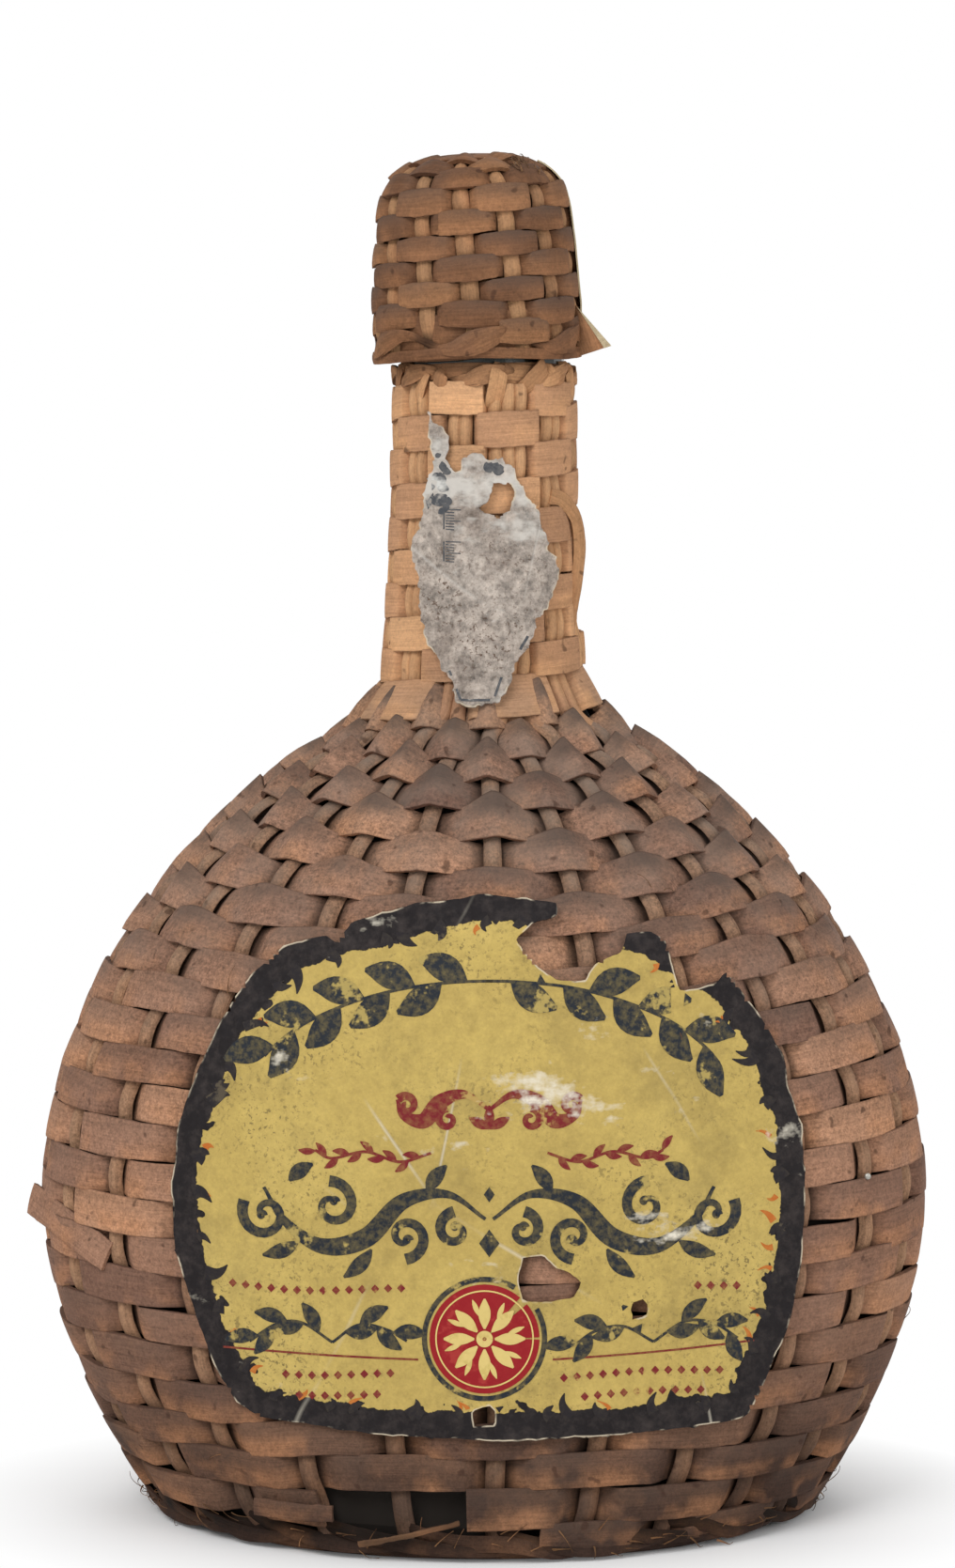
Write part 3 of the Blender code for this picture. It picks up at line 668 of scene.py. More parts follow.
@dataclass(frozen=True)
class WillowFinish(Finish):
    """Split willow: fibres, sandy grain, dust on top, soot on the crests, painted shade in the tucks.

    The tints run from the least tone of a float to the greatest. The low tint shows under the
    low height, the top tint at the foot of the neck, the warm one on clean patches, and the
    dust is at its thickest from the high height up. Dirt and painted shade darken the strips'
    long edges.
    """

    tints: tuple[Colour, ...]
    dust: Colour = (126, 112, 101)
    dust_share: float = 0.62
    soot_share: float = 0.6
    warm: Colour = (190, 134, 94)
    warm_share: float = 0.5
    low_tint: Colour = (60, 44, 37)
    low_height: float = 0.044
    grain: float = 0.55
    top_tint: Colour = (172, 130, 100)
    high_height: float = 0.116

    soot: Colour = (84, 72, 65)
    speck: Colour = (62, 42, 34)
    # dirt and painted shade: the dark at each strip's long edges, where rows meet
    edge_grime_and_shade: Colour = (66, 46, 38)
    # painted shade: the dark of a strip where it tucks deep behind a stake
    tuck: Colour = (38, 26, 20)

    def mix(self, make: Recipe) -> None:
        """Add the material's nodes.

        Args:
            make: What adds them.
        """
        height = make.height
        fibres = make.noise(1, 3, 0.6, make.lengthwise(1.1, 26))
        bands = make.noise(1, vector=make.lengthwise(0.5, 7))
        over = make.part(make.lengthwise(1, 1), "Y")
        patches = make.noise(120, 3)
        clouds = make.noise(60, 3)
        sand = make.plus(make.times(make.noise(2600, 3, 0.75), 0.6),
                         make.times(make.noise(1250, 2, 0.6), 0.4))
        high = make.step(height, self.high_height * 0.62, self.high_height)
        wear = make.attribute("wear")
        tint = make.tinted(make.ramp(make.attribute("tone"), self.tints), self.low_tint,
                           make.step(height, self.low_height * 0.3, self.low_height, 0.95, 0),
                           make.step(clouds, 0.3, 0.55, 0.65, 1))
        tint = make.tinted(tint, self.top_tint, make.step(height, 0.1275, 0.1300),
                           make.step(height, 0.1400, 0.1340))
        tint = make.tinted(tint, self.warm, make.step(make.noise(85, 3), 0.46, 0.62),
                           make.step(over, 0.10, -0.12, 0.25, 1), self.warm_share)
        sandy = make.times(make.step(sand, 0.34, 0.66, -self.grain, self.grain),
                           make.step(height, 0.030, 0.110, 0.55, 1))
        value = make.plus(make.step(fibres, 0.25, 0.75, 0.78, 1.14), sandy,
                          make.step(bands, 0.3, 0.7, -0.08, 0.08),
                          make.step(patches, 0.3, 0.7, -0.10, 0.10))
        up = make.part(make.add("NewGeometry", {}).outputs["Normal"], "Z")
        colour = make.tinted(make.lit(tint, value), self.dust, make.step(patches, 0.36, 0.64, 0.25, 1),
                             make.step(up, -0.3, 0.5, 0.2, 1),
                             make.step(high, 0, 1, 0.28, 1), self.dust_share)
        colour = make.tinted(colour, self.soot, make.step(wear, 0.35, 0.95),
                             make.step(over, -0.06, 0.20), make.step(high, 0, 1, 0.30, 1),
                             make.step(clouds, 0.36, 0.56, 0.45, 1), self.soot_share)
        colour = make.tinted(colour, self.speck, make.step(make.noise(420, 1), 0.70, 0.76), 0.6)
        # dirt and painted shade along each strip's long edges, where rows meet, stronger in patches
        colour = make.tinted(colour, self.edge_grime_and_shade, make.step(make.attribute("edge"), 0.93, 1.0),
                             make.step(patches, 0.3, 0.6, 0.10, 0.55))
        # painted shade where a strip lies deep behind a stake: the less it stands out, the darker
        colour = make.tinted(colour, self.tuck, make.step(wear, 0.34, 0.03), 0.85)
        relief = make.plus(make.times(fibres, 0.9), make.times(sand, 0.45))
        make.surface(colour, make.step(sand, 0.3, 0.7, 0.78, 0.95), relief=relief, strength=0.5,
                     Specular_IOR_Level=0.12)


@dataclass(frozen=True)
class PaperFinish(Finish):
    """Printed or plain paper: stains, dirt specks, scuffs, creases and a pale torn edge.

    The tints run from its stains to its cleanest places. A band may be printed round it, and
    print is rubbed off where the scuffs' noise is over the scuff share.
    """

    tints: tuple[Colour, ...]
    band: Colour | None = None
    band_width: float = 0.0041
    scuff: Colour = (226, 218, 200)
    scuff_share: float = 0.70
    dirt: Colour = (98, 88, 66)
    dirt_share: float = 0.6
    mottle: float = 0.10

    faded_band: Colour = (96, 86, 82)
    torn_edge: Colour = (206, 192, 168)

    def mix(self, make: Recipe) -> None:
        """Add the material's nodes.

        Args:
            make: What adds them.
        """
        clouds = make.noise(42, 4, 0.6)
        fine = make.noise(900, 2, 0.7)
        flecks = make.noise(420, 4, 0.7)
        crumbs = make.step(make.noise(1000, 3, 0.8), 0.40, 0.60, -1, 1)
        value = make.plus(make.step(flecks, 0.3, 0.7, 1 - self.mottle, 1 + self.mottle),
                          make.step(make.noise(2200), 0.3, 0.7, -0.05, 0.05),
                          make.times(crumbs, 0.30 * self.mottle))
        colour = make.lit(make.ramp(clouds, self.tints), value)
        colour = make.tinted(colour, self.dirt, make.step(make.noise(65, 6, 0.7), 0.50, 0.68),
                             0.45 * self.dirt_share)
        colour = make.tinted(colour, self.dirt, make.step(make.noise(1400, 2, 0.7), 0.56, 0.64),
                             make.step(make.noise(45, 5, 0.65), 0.46, 0.66, 0.06, 1), self.dirt_share)
        if self.band:
            ragged = make.plus(make.step(make.noise(110), 0.3, 0.7, -0.7, 0.7),
                               make.step(make.noise(900), 0.3, 0.7, -0.22, 0.22),
                               make.step(make.noise(330, 1), 0.58, 0.74, 0, -1.9))
            limit = self.band_width / MILLIMETRE
            printed = make.step(make.plus(make.attribute("rim"), ragged), limit, limit + 0.12, 1, 0)
            faded = make.tinted(srgb(self.band), self.faded_band, make.step(flecks, 0.45, 0.8, 0, 0.35))
            colour = make.mix(printed, colour, faded)
        rubbed = make.step(make.rubbed(), self.scuff_share, self.scuff_share + 0.09)
        colour = make.tinted(colour, self.scuff, rubbed, 0.85)
        cracks = make.add("TexVoronoi", {"Vector": make.scaled(make.place, 1, 1, 0.6),
                                         "Scale": 34, "Randomness": 1.0},
                          feature="DISTANCE_TO_EDGE").outputs["Distance"]
        crease = make.times(make.step(cracks, 0.0, 0.010, 1, 0), make.step(make.noise(30), 0.54, 0.66))
        colour = make.tinted(colour, self.scuff, crease, 0.55)
        colour = make.tinted(colour, self.torn_edge, make.step(make.attribute("torn"), 0.10, 0.26, 1, 0),
                             make.step(make.noise(200, 3), 0.49, 0.57), 0.85)
        relief = make.plus(make.times(clouds, 0.9), make.times(fine, 0.12))
        relief = make.chain("SUBTRACT", relief, make.times(crease, 0.25))
        make.surface(colour, make.step(fine, 0.3, 0.7, 0.62, 0.82), relief=relief, strength=0.7,
                     height=0.0010, Specular_IOR_Level=0.16)


@dataclass(frozen=True)
class InkFinish(Finish):
    """Printing ink that is rubbed through to the paper in places."""

    ink: Colour
    paper: Colour = (196, 172, 98)
    scuff: Colour = (226, 218, 200)

    def mix(self, make: Recipe) -> None:
        """Add the material's nodes.

        Args:
            make: What adds them.
        """
        fine = make.noise(900, 2, 0.7)
        colour = make.tinted(srgb(self.ink), self.paper, make.step(fine, 0.4, 0.8, 0, 0.25))
        worn = make.plus(make.noise(130, 4, 0.7), make.step(fine, 0.3, 0.7, -0.05, 0.05))
        colour = make.tinted(colour, self.paper, make.step(worn, 0.60, 0.66, 0, 0.7))
        colour = make.tinted(colour, self.scuff, make.step(make.rubbed(), 0.635, 0.71))
        make.surface(colour, 0.7, relief=fine, strength=0.2, height=0.0002, Specular_IOR_Level=0.16)


@dataclass(frozen=True)
class GlassFinish(Finish):
    """Dark green bottle glass with dust in patches, and painted shade where the basket hides it."""

    tint: Colour = (30, 40, 24)
    # dark brown of the dust patches, and of the painted shade on the hidden glass
    dust: Colour = (34, 25, 19)

    def mix(self, make: Recipe) -> None:
        """Add the material's nodes.

        Args:
            make: What adds them.
        """
        # dust in patches everywhere, and painted shade low down, where the basket hides the glass
        dust_and_painted_shade = make.chain("MAXIMUM", make.step(make.noise(90, 4), 0.45, 0.75, 0, 0.5),
                          make.step(make.height, 0.150, 0.135, 0, 0.95))
        colour = make.tinted(srgb(self.tint), self.dust, dust_and_painted_shade)
        make.surface(colour, make.step(dust_and_painted_shade, 0, 0.9, 0.08, 0.9), relief=make.noise(60),
                     strength=0.15, height=0.001, Transmission_Weight=0.2, IOR=1.45)


@dataclass(frozen=True)
class BaseFinish(Finish):
    """Dark worn willow of the woven base, seen from below."""

    tints: tuple[Colour, ...] = ((40, 28, 22), (86, 64, 50), (118, 90, 70))

    def mix(self, make: Recipe) -> None:
        """Add the material's nodes.

        Args:
            make: What adds them.
        """
        waves = {"Vector": make.place, "Scale": 55.0, "Distortion": 1.5, "Detail": 2.0,
                 "Detail Scale": 2.0}
        weave = make.times(*(make.add("TexWave", waves, bands_direction=axis).outputs["Fac"]
                             for axis in ("X", "Y")))
        sand = make.step(make.noise(1400, 3, 0.7), 0.3, 0.7, -0.1, 0.3)
        make.surface(make.ramp(make.plus(make.times(weave, 0.7), sand), self.tints), 0.9,
                     relief=weave, strength=0.8, height=0.0012, Specular_IOR_Level=0.12)


@dataclass(frozen=True)
class CorkFinish(Finish):
    """Natural cork: warm patches with dark pits, stained at the end that stood in the drink."""

    tints: tuple[Colour, ...] = ((142, 100, 62), (178, 134, 88), (202, 162, 116))
    pit: Colour = (78, 50, 32)
    stain: Colour = (96, 52, 44)

    def mix(self, make: Recipe) -> None:
        """Add the material's nodes.

        Args:
            make: What adds them.
        """
        cells = make.add("TexVoronoi", {"Vector": make.place, "Scale": 420, "Randomness": 1.0})
        pits = make.times(make.step(cells.outputs["Distance"], 0.10, 0.30, 1, 0),
                          make.step(make.noise(180), 0.5, 0.6))
        colour = make.tinted(make.ramp(make.noise(260, 4, 0.6), self.tints), self.pit, pits)
        colour = make.tinted(colour, self.stain, make.step(make.height, 0.181, 0.175, 0, 0.6))
        relief = make.chain("SUBTRACT", make.times(make.noise(700, 4, 0.7), 0.5), pits)
        make.surface(colour, 0.85, relief=relief, strength=0.6, Specular_IOR_Level=0.2)


@dataclass(frozen=True)
class NailFinish(Finish):
    """A small pale metal nail head, dulled."""

    tints: tuple[Colour, ...] = ((120, 116, 108), (196, 194, 186))

    def mix(self, make: Recipe) -> None:
        """Add the material's nodes.

        Args:
            make: What adds them.
        """
        dull = make.noise(1500, 3)
        make.surface(make.ramp(dull, self.tints), make.step(dull, 0.3, 0.7, 0.3, 0.55), Metallic=0.8)


class Palette:
    """All finishes of the flask."""

    body = WillowFinish("split_willow", ((113, 82, 69), (135, 100, 82), (153, 115, 94),
                                         (169, 126, 100), (189, 142, 110)), soot_share=0.8)
    stakes = WillowFinish("willow_rods", ((140, 106, 84), (170, 132, 102)), dust_share=0.8,
                          soot_share=0.4, warm_share=0.2, low_height=0.03)
    neck = WillowFinish("neck_willow_finish", ((180, 136, 103), (202, 153, 114), (216, 168, 124)),
                        dust_share=0.12, soot_share=0.12, warm=(218, 164, 116), grain=0.16,
                        top_tint=(176, 138, 108), high_height=0.20)
    neck_stakes = WillowFinish("neck_rods", ((184, 140, 102), (208, 162, 120)),
                               dust_share=0.12, soot_share=0.1, warm=(214, 164, 116),
                               grain=0.16, top_tint=(166, 126, 98), high_height=0.20)
    neck_rim = WillowFinish("neck_rim_willow", ((122, 88, 62), (166, 122, 86), (202, 154, 110)),
                            dust_share=0.1, soot_share=0.15, grain=0.18)
    cap = WillowFinish("cap_willow_finish", ((104, 71, 50), (124, 86, 60), (150, 107, 74)),
                       warm=(164, 115, 79), dust_share=0.14, soot_share=0.7, high_height=0.20, grain=0.24)
    cap_stakes = WillowFinish("cap_rods", ((150, 112, 80), (174, 132, 94)), dust_share=0.2,
                              soot_share=0.3, high_height=0.22, grain=0.22)
    foot = WillowFinish("foot_willow", ((18, 13, 10), (32, 23, 18), (58, 42, 34)),
                        dust_share=0.06, soot_share=0.3, warm_share=0.15, low_height=0.004)
    fibre = WillowFinish("loose_fibres", ((80, 56, 38), (122, 90, 60)), dust_share=0.2,
                         soot_share=0.1, low_height=0.001)
    label = PaperFinish("label_print", ((164, 140, 80), (188, 163, 92), (201, 177, 105)),
                        band=(31, 27, 28), scuff_share=0.635, dirt=(92, 80, 54), dirt_share=0.7)
    seal = PaperFinish("seal_print", ((122, 110, 101), (160, 149, 139), (184, 174, 164)),
                       scuff=(204, 199, 191), scuff_share=0.56, dirt=(84, 62, 48),
                       dirt_share=1.0, mottle=0.55)
    tab = PaperFinish("tab_paper", ((184, 166, 130), (204, 190, 158)), dirt=(110, 84, 60), dirt_share=0.5)
    dark_ink = InkFinish("dark_print", (38, 42, 48))
    band_ink = InkFinish("band_print", (38, 34, 36), (96, 86, 70))
    red_ink = InkFinish("red_print", (118, 36, 40))
    disc_ink = InkFinish("disc_print", (146, 30, 36), (170, 60, 54))
    orange_ink = InkFinish("orange_print", (186, 104, 44))
    cream_ink = InkFinish("cream_print", (216, 192, 120))
    slate_ink = InkFinish("slate_print", (74, 76, 80), (176, 170, 162), (206, 204, 198))
    base = BaseFinish("base_willow")
    glass = GlassFinish("bottle_glass")
    cork = CorkFinish("natural_cork")
    nail = NailFinish("nail_head")


# Pieces
def joined(parts: list[Object]) -> Object:
    """Make several objects into one, and select that.

    Args:
        parts: The objects.

    Returns:
        The one that they are joined to.
    """
    bpy.ops.object.select_all(action="DESELECT")
    for part in parts:
        part.select_set(True)
    bpy.context.view_layer.objects.active = parts[0]
    if len(parts) > 1:
        bpy.ops.object.join()
    return parts[0]


def hand_over(piece: Object | list[Object], name: str, finish: Finish, home: Home,
              *nodes: str, angle: float = 50.0) -> None:
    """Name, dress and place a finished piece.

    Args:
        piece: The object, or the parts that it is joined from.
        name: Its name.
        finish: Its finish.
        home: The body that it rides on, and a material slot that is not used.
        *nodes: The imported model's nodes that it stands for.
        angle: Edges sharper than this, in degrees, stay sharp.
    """
    piece = joined(piece if isinstance(piece, list) else [piece])
    piece.name = piece.data.name = name
    piece.data.materials.clear()
    piece.data.materials.append(finish.material())
    bpy.ops.object.shade_smooth_by_angle(angle=math.radians(angle))
    body, slot = home.value
    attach(piece, body)
    if nodes:
        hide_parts(*nodes)
    LOG.info("%s: %d faces", name, len(piece.data.polygons))


# The weave of the body
def spiral_runs(stakes: int, rows: int, before: float, after: float) -> list[tuple[int, float, float]]:
    """Split the spiral that a weave climbs into runs of splint, of four turns each.

    Args:
        stakes: Stakes in a turn.
        rows: Rows of the weave.
        before: Crossing that the first run starts at.
        after: How far the last run goes on past the start of the highest row.

    Returns:
        The number of each run and the crossings that it starts and ends at.
    """
    last = (rows - 1) * stakes
    run = 4 * stakes
    return [(number, start - 0.5 if number else before,
             start + run - 0.5 if start + run < last else last + after)
            for number, start in enumerate(range(0, last, run))]


@dataclass
class Floats:
    """The floats along a splint, each with a look of its own.

    The span holds the crossing of the first float and one past the last one's.
    """

    crossing: Array
    stakes: int
    span: tuple[int, int]
    rng: np.random.Generator

    def __post_init__(self) -> None:
        """Count the floats, and tell how far each station is from the middle of its own."""
        self.middles = np.arange(*self.span, 2)
        self.beyond = self.crossing - 2 * np.rint(self.crossing / 2)
        self.away = np.abs(self.beyond)

    def vary(self, spread: float) -> Array:
        """An amount that wanders from float to float, at each station."""
        return np.interp(self.crossing, self.middles, self.rng.normal(0, spread, len(self.middles)))

    def tones(self) -> Array:
        """Draw a colour share for each float.

        Returns:
            The share of each station's float.
        """
        tones = self.rng.uniform(0, 1, len(self.middles))
        index = np.rint(self.crossing / 2).astype(int) + self.stakes // 2 + 1
        return tones[np.clip(index, 0, len(tones) - 1)]


@dataclass
class WovenBody:
    """The body's stakes and the splints woven round them in one rising spiral."""

    stakes: int = 25
    first_stake: float = math.radians(1.6)
    rows: int = 24
    stations: int = 14
    splint_thickness: float = 0.0008
    stake_width: float = 0.0031
    stake_thickness: float = 0.0013
    over_depth: float = 0.0001
    under_depth: float = 0.0022
    lowest_edge: float = 0.0019
    lap: float = 0.0003
    gap: tuple[float, float] = (-1.92, -0.30)
    # Heights between which the shoulder's weave and its bulging scales set in
    shoulder: tuple[float, float] = (0.080, 0.116)
    scales: tuple[float, float] = (0.086, 0.120)
    seed: int = 4

    def stake_angle(self, crossing: Array) -> Array:
        """Where the spiral stands, counted in stakes passed since its start."""
        return self.first_stake + math.tau * np.asarray(crossing, float) / self.stakes

    def swell(self, height: Array) -> Array:
        """How far the floats bulge at a height: flat on the belly, scales on the shoulder."""
        return 0.00025 + 0.00050 * smoothstep(height, *self.scales)

    def spiral(self, crossing: Array) -> tuple[Array, Array]:
        """The middle line of the spiral.

        Args:
            crossing: Where to read it.

        Returns:
            The angle and the height at each crossing.
        """
        angle = self.stake_angle(crossing)
        share = (0.5 + crossing / self.stakes) / self.rows
        height = height_on_stake(angle, share)
        wander = drift(np.sin(angle) * 3 + 9, np.cos(angle) * 3 + height / 0.014, 11)
        loose = 0.0006 + 0.0005 * smoothstep(height, 0.034, 0.016)
        fade = smoothstep(share, -0.02, 0.05) * smoothstep(share, 1.02, 0.94)
        return angle, height + loose * wander * fade

    def edges(self, crossing: Array) -> tuple[Array, Array, Array]:
        """The splint's long edges.

        Args:
            crossing: Its stations.

        Returns:
            The angle of each station, and the heights of the lower and the upper edge there.
        """
        angle, height = self.spiral(crossing)
        pitch = np.interp(np.mod(angle, math.tau), ANGLES, LENGTHS) / self.rows
        over = self.spiral(crossing + self.stakes)[1] - pitch / 2 + self.lap
        upper = np.where(crossing < 1, over, height + pitch / 2)
        return angle, np.maximum(height - pitch / 2, self.lowest_edge), upper

    def splint(self, start: float, end: float, seed: int) -> Object:
        """One run of splint between two crossings.

        Args:
            start: Where it starts.
            end: Where it ends.
            seed: Which irregularities to draw.

        Returns:
            The strip.
        """
        crossing = np.linspace(start, end, int((end - start) * self.stations) + 1)
        floats = Floats(crossing, self.stakes, (-self.stakes - 3, (self.rows + 1) * self.stakes + 4),
                        np.random.default_rng(seed))
        angle, lower, upper = self.edges(crossing)
        height, width = (upper + lower) / 2, upper - lower
        up, outward = SKIN.axes(angle, height)
        shoulder = smoothstep(height, *self.shoulder)
        # how far from lying over a stake (0) to lying behind the next (1)
        away = floats.away + np.sign(floats.beyond) * np.clip(floats.vary(0.03), -0.06, 0.06)
        flat = smoothstep(away, 0.60, 0.93)
        arch = (1 - np.cos(math.pi * np.clip(away, 0, 1))) / 2
        dip = flat * (1 - shoulder) + (0.62 * arch + 0.38 * np.clip(away, 0, 1)) * shoulder
        swell = self.swell(height) * (1 + floats.vary(0.18))
        under = self.under_depth + 0.0004 * shoulder
        depth = self.over_depth - swell + (under + swell) * dip
        depth += 0.00012 * drift(crossing * 1.7, height * 300, seed + 1)
        wave = 0.03 + 0.05 * shoulder
        half = width / 2 * (1.01 + 0.08 * shoulder) * (1 + wave * np.cos(math.pi * crossing))
        half *= (1 + floats.vary(0.03)) * (1 + 0.16 * smoothstep(height, 0.121, 0.129))
        # on the shoulder the upper edge of each float stands out like a scale
        crest = shoulder * smoothstep(height, 0.1295, 0.1240)
        peak = 0.00085 * crest * np.exp(-(away / 0.34) ** 2) * (1 + floats.vary(0.3))
        depth -= 0.00035 * crest * np.exp(-(away / 0.20) ** 2)
        shift = floats.vary(0.0002)
        middle = SKIN.outer(angle, height) - outward * depth[:, None] + up * shift[:, None]
        tilt = floats.vary(0.05) + 0.03 * shoulder * np.cos(math.pi * floats.beyond)
        tone = 0.65 * floats.tones() + 0.35 * (0.5 + 0.5 * drift(angle * 1.2, height / 0.02, 23))
        return lay_strip(Course(middle, up, outward).turned(tilt), half,
                         crown=0.00012 + 0.00030 * shoulder, thickness=self.splint_thickness,
                         tone=tone, wear=1 - dip, roughness=0.00014, seed=seed + 2,
                         hollow=3.2 - 1.2 * float(shoulder.mean()), peak=peak)

    def build_splints(self) -> None:
        """Weave the splints, and break one away where the gap is."""
        for number, start, end in spiral_runs(self.stakes, self.rows, 0.5 - self.stakes,
                                              self.stakes + 3.5):
            spans = [(start, end)]
            if start < self.gap[0] < end:
                spans = [(start, self.gap[0]), (self.gap[1], end)]
            parts = [self.splint(*span, self.seed + 40 * number) for span in spans]
            hand_over(parts, f"woven_body_{number + 1}", Palette.body, Home.BASKET,
                      f"body_splint_{number + 1}")

    def relief(self, angle: Array, height: Array) -> Array:
        """Where floats lie over stakes (1) and stakes over floats (-1) on the body.

        Args:
            angle: Angle of each place.
            height: Height of each place.

        Returns:
            The relief, from -1 to 1.
        """
        share = np.interp(height, HEIGHTS[0], np.linspace(0, 1, HEIGHTS.shape[1]))
        stake = (angle - self.first_stake) / math.tau * self.stakes
        row = share * self.rows - 0.5 - stake / self.stakes
        return np.cos(math.pi * stake) * np.cos(math.pi * row)


def stands_out(stake: Amount, row: Array) -> Array:
    """How far a stake stands out of the weave, from -1 to 1, at counts of stakes and rows."""
    return -np.cos(math.pi * stake) * np.cos(math.pi * row)


# Borders
@dataclass(frozen=True)
class TwinedRim:
    """A rim of flat strands that twist round each other over the ends of the stakes.

    Each strand comes out so many waves to a turn, and climbs and swings about the rim's middle.
    The rails are plain strips behind them, each with its lowest height, highest height and
    depth. The ends of the stakes reach from the first of their levels to the second.
    """

    name: str
    node: str
    waves: int
    height: float
    climb: float
    depth: float
    swing: float
    half_width: float
    rails: Sequence[Point]
    seed: int
    ends: int = 0
    end_levels: tuple[float, float] = (0.0, 0.0)
    end_widths: tuple[float, float] = (0.0, 0.0)
    strands: int = 4

    def build(self, surface: Surface, finish: Finish, home: Home) -> None:
        """Make and dress the rim.

        Args:
            surface: Gives points from angles, heights and depths.
            finish: Its finish.
            home: The body that it rides on, and a material slot that is not used.
        """
        rng = np.random.default_rng(self.seed)
        parts = [self.rail(surface, index) for index in range(len(self.rails))]
        parts += [self.strand(surface, index) for index in range(self.strands)]
        parts += [self.end(surface, index, rng) for index in range(self.ends)]
        hand_over(parts, self.name, finish, home, self.node)

    def ribbon(self, course: Course, half: Amount, tone: Amount, wear: Amount, seed: int) -> Object:
        """A flat strip round the rim."""
        return lay_strip(course, half, crown=0.0002, thickness=0.0006, tone=tone, wear=wear,
                         roughness=0.0001, seed=self.seed + seed, columns=STRAND_COLUMNS)

    def rail(self, surface: Surface, index: int) -> Object:
        """A plain strip behind the strands.

        Args:
            surface: Gives points from angles, heights and depths.
            index: Which rail.

        Returns:
            The strip.
        """
        low, high, inside = self.rails[index]
        ring = np.linspace(0, math.tau, 97)
        height = (low + high) / 2 + 0.0003 * np.sin(ring * 3 + index * 2)
        course = Course.over(surface, ring, height, np.full(len(ring), inside))
        return self.ribbon(course, (high - low) / 2, 0.35 + 0.3 * np.sin(ring * 4), 0.42, -1 - index)

    def strand(self, surface: Surface, index: int) -> Object:
        """A strand that swings in and out all round.

        Args:
            surface: Gives points from angles, heights and depths.
            index: Which strand.

        Returns:
            The strip.
        """
        turn = np.linspace(0, math.tau, 40 * self.waves + 1)
        phase = math.tau * index / self.strands
        wave = self.waves * turn + phase + 0.5 * drift(turn * 2.2, index + 0.5, self.seed)
        height = self.height + self.climb * np.sin(wave)
        height += 0.0003 * drift(turn * 4, index + 3.5, self.seed)
        half = self.half_width * (0.62 + 0.40 * np.cos(wave))
        half *= 1 + 0.15 * drift(turn * 3, index + 7.5, self.seed)
        twist = 0.25 * np.sin(wave) + 0.15 * drift(turn * 6, index + 9.5, self.seed)
        course = Course.over(surface, turn + phase / self.waves, height,
                             self.depth - self.swing * np.cos(wave)).turned(twist)
        tone = np.clip(0.5 + 0.5 * drift(turn * 2, index + 5.5, self.seed), 0, 1)
        return self.ribbon(course, half, tone, 0.5 + 0.45 * np.cos(wave), index + 1)

    def end(self, surface: Surface, index: int, rng: np.random.Generator) -> Object:
        """The end of a stake, bent over the rim and tucked in.

        Args:
            surface: Gives points from angles, heights and depths.
            index: Which end.
            rng: Where its irregularities are drawn from.

        Returns:
            The strip.
        """
        angle = math.tau * (index + rng.uniform(-0.3, 0.3)) / self.ends
        share = np.linspace(0, 1, 14)
        low = self.end_levels[0] + rng.uniform(0, 0.0030)
        high = self.end_levels[1] + rng.normal(0, 0.0005)
        height = low + (high - low) * np.minimum(share * 1.25, 1) - 0.0003 * share ** 4
        slant = rng.normal(0, 0.24)
        depth = self.depth + 0.0005 - rng.uniform(0.0004, 0.0013) * np.sin(share * 2.4)
        depth += 0.0026 * smoothstep(share, 0.72, 1.0) + 0.0012 * smoothstep(share, 0.22, 0.0)
        half = rng.uniform(*self.end_widths) * (1 - 0.35 * np.abs(2 * share - 0.9) ** 3)
        course = Course.over(surface, angle + slant * share, height, depth)
        return lay_strip(course.turned(rng.normal(0, 0.22)), half, crown=0.0003, thickness=0.0006,
                         tone=rng.uniform(0, 1), wear=0.75 - 0.4 * share, roughness=0.00012,
                         seed=self.seed + 30 + index, columns=(-1, -0.7, 0, 0.7, 1))


